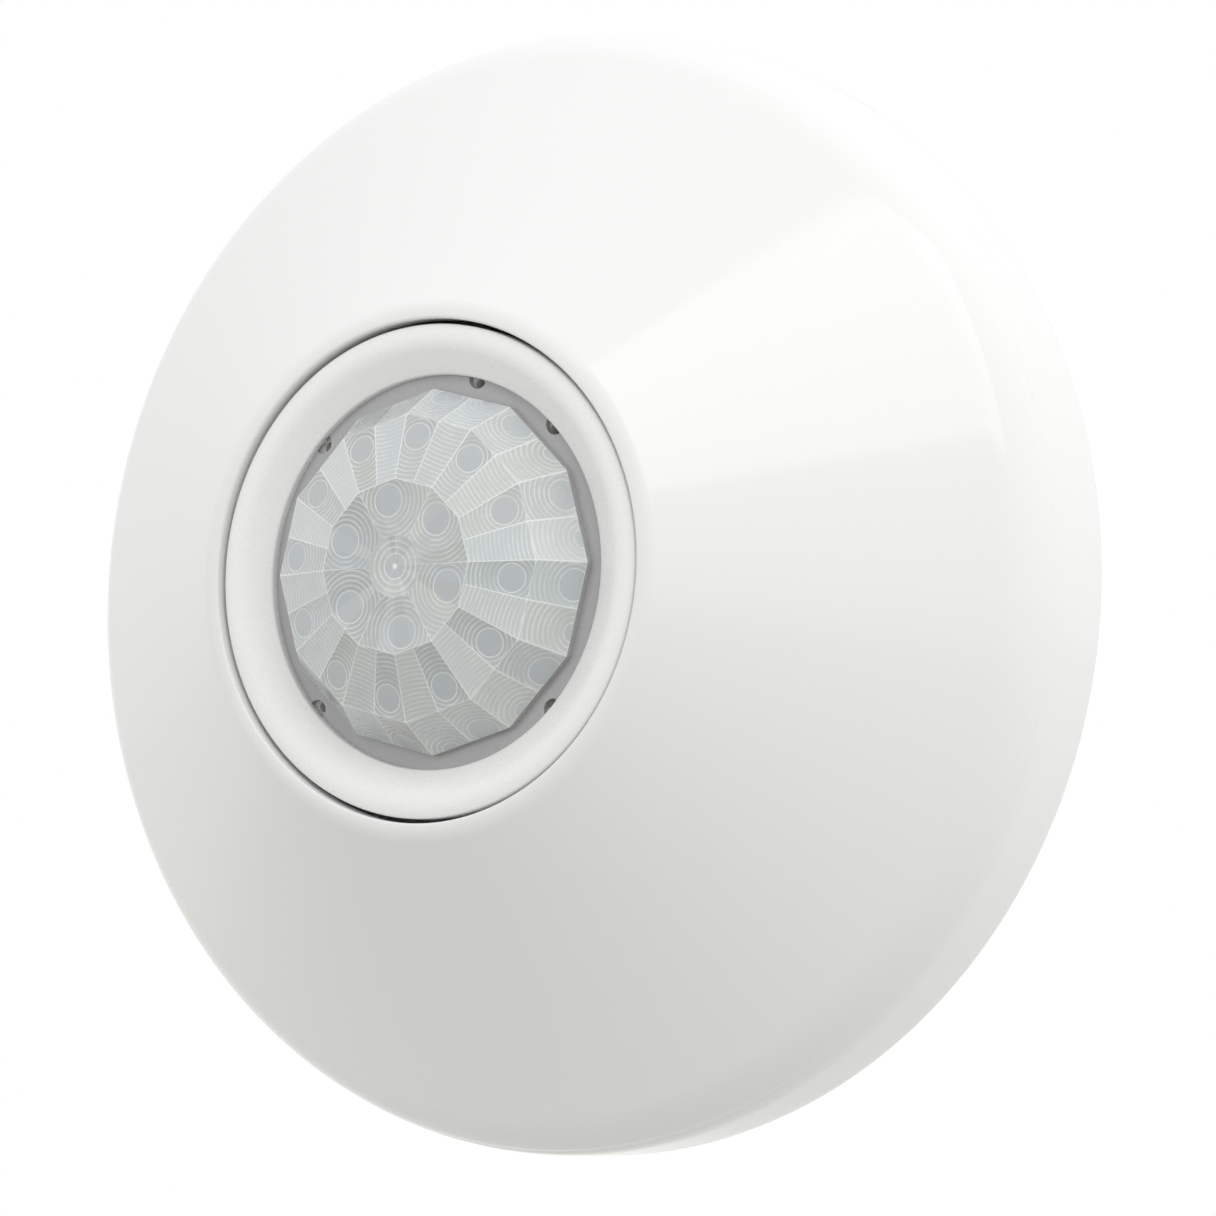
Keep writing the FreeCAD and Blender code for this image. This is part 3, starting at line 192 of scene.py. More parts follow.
# ------------------------------------------------------------------ cover
def make_cover():
    outer_centre = (COVER_RADIUS - SHOULDER_RADIUS, SKIRT_HEIGHT)
    inner_centre = (OPENING_RADIUS + OPENING_EDGE, COVER_TOP - CROWN_RADIUS)
    rise = inner_centre[1] - outer_centre[1]
    run = outer_centre[0] - inner_centre[0]
    turn = math.acos((CROWN_RADIUS - SHOULDER_RADIUS) / math.hypot(run, rise))
    tilt = math.degrees(turn - math.atan2(rise, run))
    inside = SHOULDER_RADIUS - COVER_WALL
    skirt_inside = COVER_RADIUS - COVER_WALL
    edge_centre = (inner_centre[0], COVER_TOP - OPENING_EDGE)
    rim_out = (COVER_RADIUS - RIM_EDGE, COVER_RIM + RIM_EDGE)
    rim_in = (skirt_inside + RIM_EDGE, COVER_RIM + RIM_EDGE)

    # a faint witness line of the mould runs round the shoulder
    shoulder = []
    for angle in np.linspace(0, tilt, SHOULDER_POINTS):
        reach = math.radians(angle - WITNESS_ANGLE) * SHOULDER_RADIUS
        radius = SHOULDER_RADIUS - WITNESS_DEPTH * math.exp(-(reach / WITNESS_WIDTH) ** 2)
        shoulder += arc_points(outer_centre, radius, angle, angle, 1)
    crown = arc_points(inner_centre, CROWN_RADIUS, tilt, 90, 22)
    under_crown = arc_points(inner_centre, CROWN_RADIUS - COVER_WALL, 90, tilt, 6)
    under_shoulder = arc_points(outer_centre, inside, tilt, 0, 14)
    profile = outline(
        arc_points(rim_out, RIM_EDGE, -90, 0, 5),
        run_points((COVER_RADIUS, rim_out[1]), (COVER_RADIUS, SKIRT_HEIGHT), 6),
        shoulder,
        run_points(shoulder[-1], crown[0], 24),
        crown,
        arc_points(edge_centre, OPENING_EDGE, 90, 180, 6),
        run_points((OPENING_RADIUS, edge_centre[1]), (OPENING_RADIUS, COVER_TOP - COVER_WALL), 2),
        under_crown,
        run_points(under_crown[-1], under_shoulder[0], 8),
        under_shoulder,
        run_points((skirt_inside, SKIRT_HEIGHT), (skirt_inside, rim_in[1]), 3),
        arc_points(rim_in, RIM_EDGE, 180, 270, 4),
    )
    cover = lathe("cover_shell", profile, TURNED_COLUMNS)

    slope = math.tan(math.radians(90 - tilt))
    foot_angle = math.degrees(math.asin((RIB_LOW - SKIRT_HEIGHT) / (inside + ROOT)))
    rib = [(RIB_INNER, RIB_LOW)] + arc_points(outer_centre, inside + ROOT, foot_angle, tilt, 5)
    rib.append((RIB_INNER, rib[-1][1] + (rib[-1][0] - RIB_INNER) * slope))
    rib_step = 360 / RIB_COUNT
    tools = [fin(rib, RIB_WALL, rib_step * (k + 0.5)) for k in range(RIB_COUNT)]
    tools += [spoke(PAD_INNER, skirt_inside + ROOT, PAD_WIDTH, angle, PAD_LOW, PAD_HIGH)
              for angle in PAD_ANGLES]
    for tool in tools:
        carve(cover, solid_object("tool", [tool]), "UNION")
    return cover


# ------------------------------------------------------------------ lens ring
def make_ring():
    slope = math.radians(DISH_SLOPE)
    lip_centre = (LIP_RADIUS + LIP_EDGE, LIP_TOP - LIP_EDGE)
    lip = arc_points(lip_centre, LIP_EDGE, 90 + DISH_SLOPE, 180, 8)
    crest_low = RING_TOP - CREST_RADIUS
    dish_rise = crest_low + CREST_RADIUS * math.cos(slope) - lip[0][1]
    dish_end = (lip[0][0] + dish_rise / math.tan(slope), lip[0][1] + dish_rise)
    crest_centre = (dish_end[0] + CREST_RADIUS * math.sin(slope), crest_low)
    reach = (RING_RADIUS - RING_EDGE - crest_centre[0]) / (CREST_RADIUS - RING_EDGE)
    roll = math.degrees(math.acos(reach))
    edge_centre = arc_points(crest_centre, CREST_RADIUS - RING_EDGE, roll, roll, 1)[0]
    profile = outline(
        run_points((RING_RADIUS, RING_FOOT), (RING_RADIUS, edge_centre[1]), 10),
        arc_points(edge_centre, RING_EDGE, 0, roll, 6),
        arc_points(crest_centre, CREST_RADIUS, roll, 90 + DISH_SLOPE, 28),
        run_points(dish_end, lip[0], 8),
        lip,
        [(LIP_RADIUS, LIP_UNDERSIDE), (RING_POCKET, LIP_UNDERSIDE), (RING_POCKET, RING_SEAT),
         (RING_SKIRT_INSIDE, RING_SEAT), (RING_SKIRT_INSIDE, RING_FOOT)],
    )
    ring = lathe("lens_ring_dish", profile, TURNED_COLUMNS)
    for angle in CLIP_ANGLES:
        window = spoke(RING_SKIRT_INSIDE - PAST, RING_RADIUS + PAST, CLIP_WIDTH, angle,
                       CLIP_LOW, CLIP_HIGH)
        carve(ring, solid_object("tool", [window]), "DIFFERENCE")
    return ring


# ------------------------------------------------------------------ Fresnel lens
LENS_COLUMNS = 480
PER_DEGREE = LENS_COLUMNS / 360
# rows across the flat middle, the middle ring, the steep ring and the edge above the flange
ROW_COUNTS = (74, 60, 44, 2)
SIDE = 360 / LENS_SIDES
SEGMENT = SIDE / 2
SEGMENT_COUNT = 2 * LENS_SIDES
FLAT = math.cos(math.pi / LENS_SIDES)
CENTRE_RADIUS = 3.1
# the rows are round up to ROUND_MARGIN past the middle lens, then turn into polygons
ROUND_MARGIN, POLYGON_SHORT = 0.6, 4.6
# angle of each petal's small lens, and its distance from the axis
PETAL_ANGLES = (42.0, 97.0, 155.0, 215.0, 277.0, 340.0)
PETAL_CIRCLE = 6.6
PETAL_SPAN = 60.0
GROOVE_DEPTH = 0.028
# share of the groove depth in the bowl of each small lens, and how far the first groove takes to start
BOWL_SHARE, GROOVE_START = 0.35, 0.12
GATE_RADIUS = 0.25
# zone: (disc radius, groove pitch)
CENTRE_LENS, PETAL_LENS = (1.25, 0.62), (1.62, 0.50)
MID_BLOB, MID_STRIPES = (1.42, 0.46), (0.0, 0.46)
LOW_BLOB, LOW_ARCS = (1.60, 0.52), (1.0, 0.56)
# distance of the small lenses' middles from the axis, in the later and the earlier half of a facet
MID_CENTRES, LOW_CENTRES = (13.0, 21.0), (17.35, 17.9)
RIM_COLUMNS, HOLE_COLUMNS = 240, 28
TINY = 0.02
# degrees by which a row's points are read past their own angle, so that a seam belongs to one side
NUDGE = 0.01
# how much lighter or darker the film is in each kind of small lens, and at random from one to another
MIDDLE_TONE, PETAL_TONE, HALF_TONE, STEEP_TONE, CELL_TONE = -0.1, -0.5, 0.4, 0.3, 0.6
ZONE_COUNT, TONE_SEED = 5, 7


def polygon_factor(angle):
    """Distance to a side of the unit-corner polygon, in the direction of an angle in degrees."""
    return FLAT / np.cos(np.radians((angle % SIDE) - SIDE / 2))


def facet_middle(angle):
    """Direction, in degrees, of the middle of the facet that an angle lies in."""
    return np.floor(angle / SIDE) * SIDE + SIDE / 2


def zone_area(zone, corner):
    """Zone of a row, with -1 for the part of the flat middle that belongs to the middle lens."""
    return zone if zone else (-1 if corner <= CENTRE_RADIUS + TINY else 0)


def offset_corner(before, corner, after, distance):
    """Corner of an outline moved inward, where its two neighbouring edges cross after the move."""
    def moved(start, end):
        step = np.array(end) - np.array(start)
        shift = np.array([step[1], -step[0]]) / np.hypot(*step) * distance
        return np.array(start) + shift, step
    a, u = moved(before, corner)
    b, v = moved(corner, after)
    share = ((b[0] - a[0]) * v[1] - (b[1] - a[1]) * v[0]) / (u[0] * v[1] - u[1] * v[0])
    return a + u * share


def lens_rows():
    """Rows of the dome's outside: (corner radius, height, zone), from the middle outwards."""
    corners = [(0.0, LENS_CORNERS[0][1]), *LENS_CORNERS, (LENS_CORNERS[-1][0], FLANGE_TOP)]
    rows = []
    for zone, count in enumerate(ROW_COUNTS):
        (ra, ha), (rb, hb) = corners[zone:zone + 2]
        rows += [(ra + (rb - ra) * k / count, ha + (hb - ha) * k / count, zone)
                 for k in range(1, count + 1)]
    return rows


def lens_pattern(zone, seg_angle, angle, radius):
    """Position of points relative to the middle of the small lens that they belong to.

    zone and seg_angle say which small lens; angle and radius are the points. Returns the two
    coordinates in the facet's own plane, the disc radius and the groove pitch.
    """
    facet = facet_middle(seg_angle)
    turn = np.radians(angle - facet)
    across, along = radius * np.sin(turn), radius * np.cos(turn)
    late = seg_angle > facet
    half = np.where(late, math.radians(SEGMENT / 2), -math.radians(SEGMENT / 2))

    # flat middle
    x, y = radius * np.cos(np.radians(angle)), radius * np.sin(np.radians(angle))
    petal = np.minimum((seg_angle % 360) // PETAL_SPAN, len(PETAL_ANGLES) - 1).astype(int)
    petal_turn = np.radians(np.array(PETAL_ANGLES))[petal]
    inner = zone < 0
    u = np.where(inner, x, x - PETAL_CIRCLE * np.cos(petal_turn))
    v = np.where(inner, y, y - PETAL_CIRCLE * np.sin(petal_turn))
    disc = np.where(inner, CENTRE_LENS[0], PETAL_LENS[0])
    pitch = np.where(inner, CENTRE_LENS[1], PETAL_LENS[1])

    # middle ring: a blob in the later half of each facet, plain stripes in the earlier half;
    # steep ring: a blob and arcs
    for here, ring, centres, later, earlier in (
            (zone == 1, 1, MID_CENTRES, MID_BLOB, MID_STRIPES),
            (zone >= 2, 2, LOW_CENTRES, LOW_BLOB, LOW_ARCS)):
        (ra, ha), (rb, hb) = LENS_CORNERS[ring - 1:ring + 1]
        stretch = math.hypot(1, (ha - hb) / ((rb - ra) * FLAT))
        centre = np.where(late, *centres)
        u = np.where(here, across - centre * np.sin(half), u)
        v = np.where(here, (along - centre * np.cos(half)) * stretch, v)
        disc = np.where(here, np.where(late, later[0], earlier[0]), disc)
        pitch = np.where(here, np.where(late, later[1], earlier[1]), pitch)
    return u, v, disc, pitch


def flat_sheet(boundary, height, downward):
    """Level sheet between the given inner boundary (k, 2), the flange's rim and the peg holes.

    Returns points, faces, and the index lists of the rim and of each hole. The boundary's own
    points come first, in order."""
    loops = [list(range(len(boundary)))]
    points = [tuple(p) for p in boundary]

    def add_circle(centre, radius, count):
        start = len(points)
        for k in range(count):
            turn = 2 * math.pi * k / count
            points.append((centre[0] + radius * math.cos(turn), centre[1] + radius * math.sin(turn)))
        loops.append(list(range(start, start + count)))

    add_circle((0, 0), FLANGE_RADIUS, RIM_COLUMNS)
    holes = []
    for angle in PEG_ANGLES:
        turn = math.radians(angle)
        holes.append((PEG_CIRCLE * math.cos(turn), PEG_CIRCLE * math.sin(turn)))
        add_circle(holes[-1], PEG_HOLE, HOLE_COLUMNS)
    edges = [(loop[k], loop[(k + 1) % len(loop)]) for loop in loops for k in range(len(loop))]
    flat, _, triangles, _, _, _ = delaunay_2d_cdt([Vector(p) for p in points], edges, [], 0, 1e-7)
    flat = np.array([tuple(p) for p in flat])
    assert len(flat) == len(points)
    faces = []
    for triangle in triangles:
        middle = flat[list(triangle)].mean(axis=0)
        angle = math.degrees(math.atan2(middle[1], middle[0])) % 360
        corner = np.hypot(*boundary[0])
        if np.hypot(*middle) < corner * polygon_factor(angle):
            continue
        if any(math.dist(middle, hole) < PEG_HOLE for hole in holes):
            continue
        faces.append(list(triangle)[::-1] if downward else list(triangle))
    sheet = np.column_stack([flat, np.full(len(flat), height)])
    return sheet, faces, loops


def zone_slopes():
    """Outward and upward parts of the direction square to each ring of facets."""
    slopes = {0: (0.0, 1.0)}
    for zone in (1, 2):
        (ra, ha), (rb, hb) = LENS_CORNERS[zone - 1:zone + 1]
        run, rise = (rb - ra) * FLAT, hb - ha
        slopes[zone] = (-rise / math.hypot(run, rise), run / math.hypot(run, rise))
    return slopes


def groove_depth(area, angle, radius):
    """Depth of the moulded grooves at the points of one row."""
    zones = np.full(LENS_COLUMNS, area)
    u, v, disc, pitch = lens_pattern(zones, angle + NUDGE, angle, radius)
    distance = np.hypot(u, v)
    beyond = np.clip((distance - disc) / GROOVE_START, 0, 1)
    ripple = 0.5 - 0.5 * np.cos(2 * math.pi * (distance - disc) / pitch)
    bowl = BOWL_SHARE * np.clip(distance / np.maximum(disc, 0.1), 0, 1) ** 2
    grooves = beyond * ripple + BOWL_SHARE * (1 - beyond)
    return GROOVE_DEPTH * np.where(distance > disc, grooves, bowl)


def dome_points(rows, angle, factor):
    """The dome's outside: its points, their angles and radii about the axis, and the seams."""
    r0 = LENS_CORNERS[0][0]
    facet = np.radians(facet_middle(angle))
    on_facet_edge = np.isclose(angle % SIDE, 0)
    on_segment_edge = np.isclose(angle % SEGMENT, 0)
    on_petal_edge = np.isclose(angle % PETAL_SPAN, 0)
    slopes = zone_slopes()
    points = [(0.0, 0.0, LENS_CORNERS[0][1])]
    grid_angle, grid_radius, seams = [0.0], [0.0], [1.0]
    for corner, height, zone in rows:
        # the rows turn from circles into polygons across the flat middle
        turned = (corner - CENTRE_RADIUS - ROUND_MARGIN) / (r0 - POLYGON_SHORT)
        blend = 1.0 if zone else min(max(turned, 0), 1)
        radius = corner * (1 + blend * (factor - 1))
        x, y = radius * np.cos(np.radians(angle)), radius * np.sin(np.radians(angle))
        h = np.full(LENS_COLUMNS, height)
        seam = on_facet_edge
        if zone in slopes:
            area = zone_area(zone, corner)
            seam = on_segment_edge if zone else (on_petal_edge & (area == 0))
            seam = seam | (corner < GATE_RADIUS)
            depth = np.where(seam, 0.0, groove_depth(area, angle, radius))
            if any(math.isclose(corner, c) for c, _ in LENS_CORNERS):
                depth = np.zeros(LENS_COLUMNS)
                seam = np.full(LENS_COLUMNS, True)
            tilt, lift = slopes[zone]
            x = x - np.cos(facet) * tilt * depth
            y = y - np.sin(facet) * tilt * depth
            h = h - lift * depth
        seams += seam.astype(float).tolist()
        points += list(zip(x, y, h))
        grid_angle += angle.tolist()
        grid_radius += radius.tolist()
    return points, grid_angle, grid_radius, seams


def dome_faces(rows, columns, after):
    """Faces of the dome's outside, with the zone and the angle of each."""
    faces = [[0, 1 + c, 1 + after[c]] for c in columns]
    zones = [-1] * LENS_COLUMNS
    for k, (corner, _, zone) in enumerate(rows[1:]):
        low, high = 1 + k * LENS_COLUMNS, 1 + (k + 1) * LENS_COLUMNS
        middle = (rows[k][0] + corner) / 2
        faces += [[low + c, high + c, high + after[c], low + after[c]] for c in columns]
        zones += [zone_area(zone, middle)] * LENS_COLUMNS
    angles = [(c + 0.5) / PER_DEGREE for c in columns] * len(rows)
    return faces, zones, angles


def inner_corners():
    """Corners of the dome's inside, one wall thickness in, measured at the facets' middles."""
    flats = [(0.0, LENS_CORNERS[0][1])] + [(c * FLAT, h) for c, h in LENS_CORNERS]
    flats.append((LENS_CORNERS[-1][0] * FLAT, FLANGE_LOW))
    return [offset_corner(*flats[k - 1:k + 2], LENS_WALL) for k in (1, 2, 3)]


def make_lens():
    rows = lens_rows()
    columns = np.arange(LENS_COLUMNS)
    after = (columns + 1) % LENS_COLUMNS
    angle = columns / PER_DEGREE
    factor = polygon_factor(angle)
    points, grid_angle, grid_radius, seams = dome_points(rows, angle, factor)
    faces, face_zone, face_angle = dome_faces(rows, columns, after)

    # flange: top sheet, bottom sheet, rim and hole walls
    foot = 1 + (len(rows) - 1) * LENS_COLUMNS
    inner = inner_corners()
    turns = np.radians(angle)
    unit = np.column_stack([np.cos(turns) * factor, np.sin(turns) * factor])
    top, top_faces, top_loops = flat_sheet(unit * LENS_CORNERS[-1][0], FLANGE_TOP, False)
    low, low_faces, low_loops = flat_sheet(unit * inner[-1][0] / FLAT, FLANGE_LOW, True)
    remap_top = np.concatenate([foot + columns,
                                len(points) + np.arange(len(top) - LENS_COLUMNS)])
    points += [tuple(p) for p in top[LENS_COLUMNS:]]
    start_low = len(points)
    points += [tuple(p) for p in low]
    extra = [[int(remap_top[k]) for k in face] for face in top_faces]
    extra += [[start_low + k for k in face] for face in low_faces]
    for number, (upper, lower) in enumerate(zip(top_loops[1:], low_loops[1:])):
        count = len(upper)
        for k in range(count):
            a, b = upper[k], upper[(k + 1) % count]
            c, d = lower[(k + 1) % count], lower[k]
            quad = [int(remap_top[a]), int(remap_top[b]), start_low + c, start_low + d]
            extra.append(quad[::-1] if number == 0 else quad)

    # inside of the dome
    above = start_low + columns
    for distance, height in inner[::-1]:
        ring = unit * distance / FLAT
        start = len(points)
        points += [(x, y, height) for x, y in ring]
        extra += [[int(above[c]), int(above[after[c]]), int(start + after[c]), int(start + c)]
                  for c in columns]
        above = start + columns
    points.append((0.0, 0.0, inner[0][1]))
    extra += [[int(above[c]), int(above[after[c]]), len(points) - 1] for c in columns]
    faces += extra
    face_zone += [3] * len(extra)
    face_angle += [0.0] * len(extra)

    lens = make_object("lens_dome", points, faces)
    mesh = lens.data
    assert len(mesh.polygons) == len(faces)
    add_lens_attributes(mesh, grid_angle, grid_radius, face_zone, face_angle, seams)
    return lens


def add_lens_attributes(mesh, grid_angle, grid_radius, face_zone, face_angle, seams):
    """Stores what the lens material draws from: each corner's place in its small lens, that lens's
    disc and pitch, and the seams between the small lenses."""
    loops = np.empty(len(mesh.loops), int)
    mesh.loops.foreach_get("vertex_index", loops)
    sizes = np.empty(len(mesh.polygons), int)
    mesh.polygons.foreach_get("loop_total", sizes)
    owner = np.repeat(np.arange(len(sizes)), sizes)
    missing = len(mesh.vertices) - len(grid_angle)
    angles = np.concatenate([grid_angle, np.zeros(missing)])
    radii = np.concatenate([grid_radius, np.zeros(missing)])
    zone = np.array(face_zone)[owner]
    seg = np.array(face_angle)[owner]
    angle = angles[loops]
    angle = np.where(np.abs(angle - seg) > 180, angle + 360, angle)
    u, v, disc, pitch = lens_pattern(zone, seg, angle, radii[loops])
    place = mesh.attributes.new("lens_place", "FLOAT_VECTOR", "CORNER")
    place.data.foreach_set("vector", np.column_stack([u, v, disc]).astype(np.float32).ravel())
    kind = mesh.attributes.new("lens_kind", "FLOAT_VECTOR", "CORNER")
    rng = np.random.default_rng(TONE_SEED)
    cell = (zone + 1) * SEGMENT_COUNT + np.floor(seg / SEGMENT).astype(int)
    # blob lenses a little darker than striped ones, the middle darker than the steep ring
    late = np.where((seg % SIDE) > SEGMENT, -HALF_TONE, HALF_TONE)
    by_zone = np.choose(zone + 1, (MIDDLE_TONE, PETAL_TONE, late, late + STEEP_TONE, 0.0))
    tone = rng.uniform(-CELL_TONE, CELL_TONE, SEGMENT_COUNT * ZONE_COUNT)[cell] + by_zone
    kinds = np.column_stack([pitch, zone == 3, tone])
    kind.data.foreach_set("vector", kinds.astype(np.float32).ravel())
    seam = mesh.attributes.new("lens_seam", "FLOAT", "POINT")
    values = np.concatenate([seams, np.zeros(missing)])
    seam.data.foreach_set("value", values.astype(np.float32))


# ------------------------------------------------------------------ materials
FILM = (0.53, 0.55, 0.555)
BLOB = (0.455, 0.49, 0.52)
RIDGE = (0.90, 0.92, 0.91)
FLANGE = (0.42, 0.425, 0.425)
WARM_TINT = (1.0, 0.985, 0.94)
COOL_TINT = (0.955, 0.985, 1.0)
VIA_TIN = (0.62, 0.58, 0.40)
# how strongly the grooves' crests, the small lenses' rims and the seams show
LINE_SHARE, RIM_SHARE, SEAM_SHARE = 0.70, 0.80, 0.75
# sizes in millimetres: changes of tone, of gloss and of level in moulded plastic
TONE_SIZE, GLOSS_SIZE, WAVE_SIZE = 14.0, 5.0, 9.0
# sizes in millimetres: stains and streaks of metal, tracks of a board, turns of enamelled wire
STAIN_SIZE, STREAK_SIZE = 2.5, 0.25
TRACK_PITCHES, TRACK_BEND = (1.3, 1.9), 6.0
WIRE_PITCH = 0.34
# depths in millimetres
SAW_DEPTH, LENS_GRAIN_DEPTH, BOARD_DEPTH, WIRE_DEPTH = 0.09, 0.004, 0.035, 0.12


class Shader:
    """A node material with a Principled shader and short ways to add nodes."""

    def __init__(self, name):
        self.material = bpy.data.materials.new(name)
        self.material.use_nodes = True
        self.tree = self.material.node_tree
        self.principled = self.tree.nodes["Principled BSDF"]
        self.object_place = None

    def node(self, kind, inputs=None, **settings):
        made = self.tree.nodes.new(kind)
        for key, value in settings.items():
            setattr(made, key, value)
        for key, value in (inputs or {}).items():
            self.put(made.inputs[key], value)
        return made

    def put(self, socket, value):
        if isinstance(value, bpy.types.NodeSocket):
            self.tree.links.new(value, socket)
        else:
            socket.default_value = value

    def set(self, **inputs):
        for key, value in inputs.items():
            self.put(self.principled.inputs[key.replace("_", " ")], value)

    def attribute(self, name, output):
        return self.node("ShaderNodeAttribute", attribute_name=name).outputs[output]

    def place(self):
        """Position in the object's own frame, in millimetres."""
        if self.object_place is None:
            coordinates = self.node("ShaderNodeTexCoord")
            scaled = self.node("ShaderNodeVectorMath", {0: coordinates.outputs["Object"]},
                               operation="SCALE")
            scaled.inputs["Scale"].default_value = 1 / MM
            self.object_place = scaled.outputs[0]
        return self.object_place

    def noise(self, size, detail=3.0, rough=0.55, vector=None):
        """Noise with features of about the given size in millimetres."""
        inputs = {"Vector": vector or self.place(), "Scale": 1 / size,
                  "Detail": detail, "Roughness": rough}
        return self.node("ShaderNodeTexNoise", inputs).outputs["Fac"]

    def stretch(self, factors):
        """The object's place, scaled along its axes."""
        return self.node("ShaderNodeVectorMath", {0: self.place(), 1: factors},
                         operation="MULTIPLY").outputs[0]

    def math(self, operation, a, b=0.0):
        return self.node("ShaderNodeMath", {0: a, 1: b}, operation=operation).outputs[0]

    def span(self, value, low, high, to_low=0.0, to_high=1.0, smooth=True):
        """Maps low..high of a value to another range, clamped."""
        inputs = {"Value": value, "From Min": low, "From Max": high, "To Min": to_low, "To Max": to_high}
        kind = "SMOOTHSTEP" if smooth else "LINEAR"
        return self.node("ShaderNodeMapRange", inputs, interpolation_type=kind).outputs["Result"]

    def mix(self, share, a, b, blend="MIX"):
        node = self.tree.nodes.new("ShaderNodeMix")
        node.data_type = "RGBA"
        node.blend_type = blend
        for socket, value in ((node.inputs[0], share), (node.inputs[6], a), (node.inputs[7], b)):
            if isinstance(value, tuple) and len(value) == 3:
                value = (*value, 1.0)
            self.put(socket, value)
        return node.outputs[2]

    def bump(self, height, depth, before=None):
        """Bump of a height of 0 to 1 that stands for a depth in millimetres."""
        inputs = {"Height": height, "Distance": depth * MM, "Strength": 1.0}
        node = self.node("ShaderNodeBump", inputs)
        if before is not None:
            self.put(node.inputs["Normal"], before)
        return node.outputs[0]


def shade(colour, factor):
    return tuple(min(c * factor, 1.0) for c in colour)


def moulded(name, colour, rough=0.4, grain=0.35, depth=0.006, wave=0.0, coat=0.0, spread=0.03):
    """Injection-moulded plastic: fine mould grain, slow waviness, faint changes of tone and gloss."""
    s = Shader(name)
    tone = s.noise(TONE_SIZE, 4.0)
    s.set(Base_Color=s.mix(tone, shade(colour, 1 - spread), shade(colour, 1 + spread * 0.6)))
    fine = s.noise(grain, 2.0, 0.6)
    patches = s.noise(GLOSS_SIZE, 3.0)
    gloss = s.math("ADD", s.math("MULTIPLY", fine, 0.5), s.math("MULTIPLY", patches, 0.5))
    s.set(Roughness=s.span(gloss, 0.25, 0.75, rough * 0.85, rough * 1.15))
    normal = s.bump(fine, depth)
    if wave:
        normal = s.bump(s.noise(WAVE_SIZE, 1.0), wave, normal)
    s.set(Normal=normal, Coat_Weight=coat, Coat_Roughness=0.12)
    return s.material


def metal(name, colour, rough=0.25, streak=(1.0, 1.0, 1.0), depth=0.003, dull=0.25):
    """Plated or drawn metal with fine streaks and faint tarnish."""
    s = Shader(name)
    stain = s.noise(STAIN_SIZE, 5.0, 0.6)
    s.set(Base_Color=s.mix(s.span(stain, 0.35, 0.8), colour, shade(colour, 1 - dull)), Metallic=1.0)
    streaks = s.noise(STREAK_SIZE, 3.0, 0.6, s.stretch(streak))
    s.set(Roughness=s.span(streaks, 0.2, 0.8, rough * 0.7, rough * 1.4), Normal=s.bump(streaks, depth))
    return s.material


def board(name, colour):
    """Circuit board: solder mask over a web of copper tracks, with plated vias."""
    s = Shader(name)
    place = s.place()
    parts = s.node("ShaderNodeSeparateXYZ", {0: place})
    x, z = parts.outputs[0], parts.outputs[2]
    cells = s.node("ShaderNodeTexVoronoi", {"Vector": place, "Scale": 0.12}, distance="CHEBYCHEV")
    bend = s.math("MULTIPLY", cells.outputs["Distance"], TRACK_BEND)
    lanes = []
    for run, pitch in zip((x, z), TRACK_PITCHES):
        lane = s.math("FRACT", s.math("DIVIDE", s.math("ADD", run, bend), pitch))
        lanes.append(s.math("ABSOLUTE", s.math("SUBTRACT", lane, 0.5)))
    across, along = lanes
    chooser = s.math("GREATER_THAN", s.noise(7.0, 0.0), 0.5)
    line = s.math("ADD", s.math("MULTIPLY", across, chooser),
                  s.math("MULTIPLY", along, s.math("SUBTRACT", 1.0, chooser)))
    track = s.span(line, 0.12, 0.17, 1.0, 0.0)
    vias = s.node("ShaderNodeTexVoronoi", {"Vector": place, "Scale": 0.3, "Randomness": 0.8})
    ring = s.span(vias.outputs["Distance"], 0.10, 0.12, 1.0, 0.0)
    mask = s.mix(track, colour, shade(colour, 1.7))
    s.set(Base_Color=s.mix(ring, mask, VIA_TIN), Metallic=s.math("MULTIPLY", ring, 0.7))
    height = s.math("ADD", s.math("MULTIPLY", track, 0.7), s.math("MULTIPLY", s.noise(0.6), 0.15))
    s.set(Roughness=s.span(s.noise(3.0), 0.3, 0.7, 0.24, 0.36), Normal=s.bump(height, BOARD_DEPTH))
    s.set(Coat_Weight=0.3, Coat_Roughness=0.15)
    return s.material


def winding(name, colour):
    """Enamelled wire wound round a core: close turns along the winding's axis, with painted shade
    darkening each turn towards its sides and the crevices between turns.
    """
    s = Shader(name)
    parts = s.node("ShaderNodeSeparateXYZ", {0: s.place()})
    wobble = s.math("MULTIPLY", s.noise(3.0), 0.08)
    turns = s.math("FRACT", s.math("DIVIDE", s.math("ADD", parts.outputs[1], wobble), WIRE_PITCH))
    offset = s.math("MULTIPLY", s.math("SUBTRACT", turns, 0.5), 1.96)
    wire_round_and_shade = s.math("SQRT", s.math("SUBTRACT", 1.0, s.math("POWER", offset, 2.0)))
    # painted shade: the colour darkens towards the sides of each turn and the crevices between turns;
    # the same profile also drives the bump
    s.set(Base_Color=s.mix(wire_round_and_shade, shade(colour, 0.35), colour), Metallic=0.85)
    s.set(Roughness=s.span(s.noise(0.8), 0.3, 0.7, 0.25, 0.4), Normal=s.bump(wire_round_and_shade, WIRE_DEPTH))
    s.set(Coat_Weight=0.5)
    return s.material


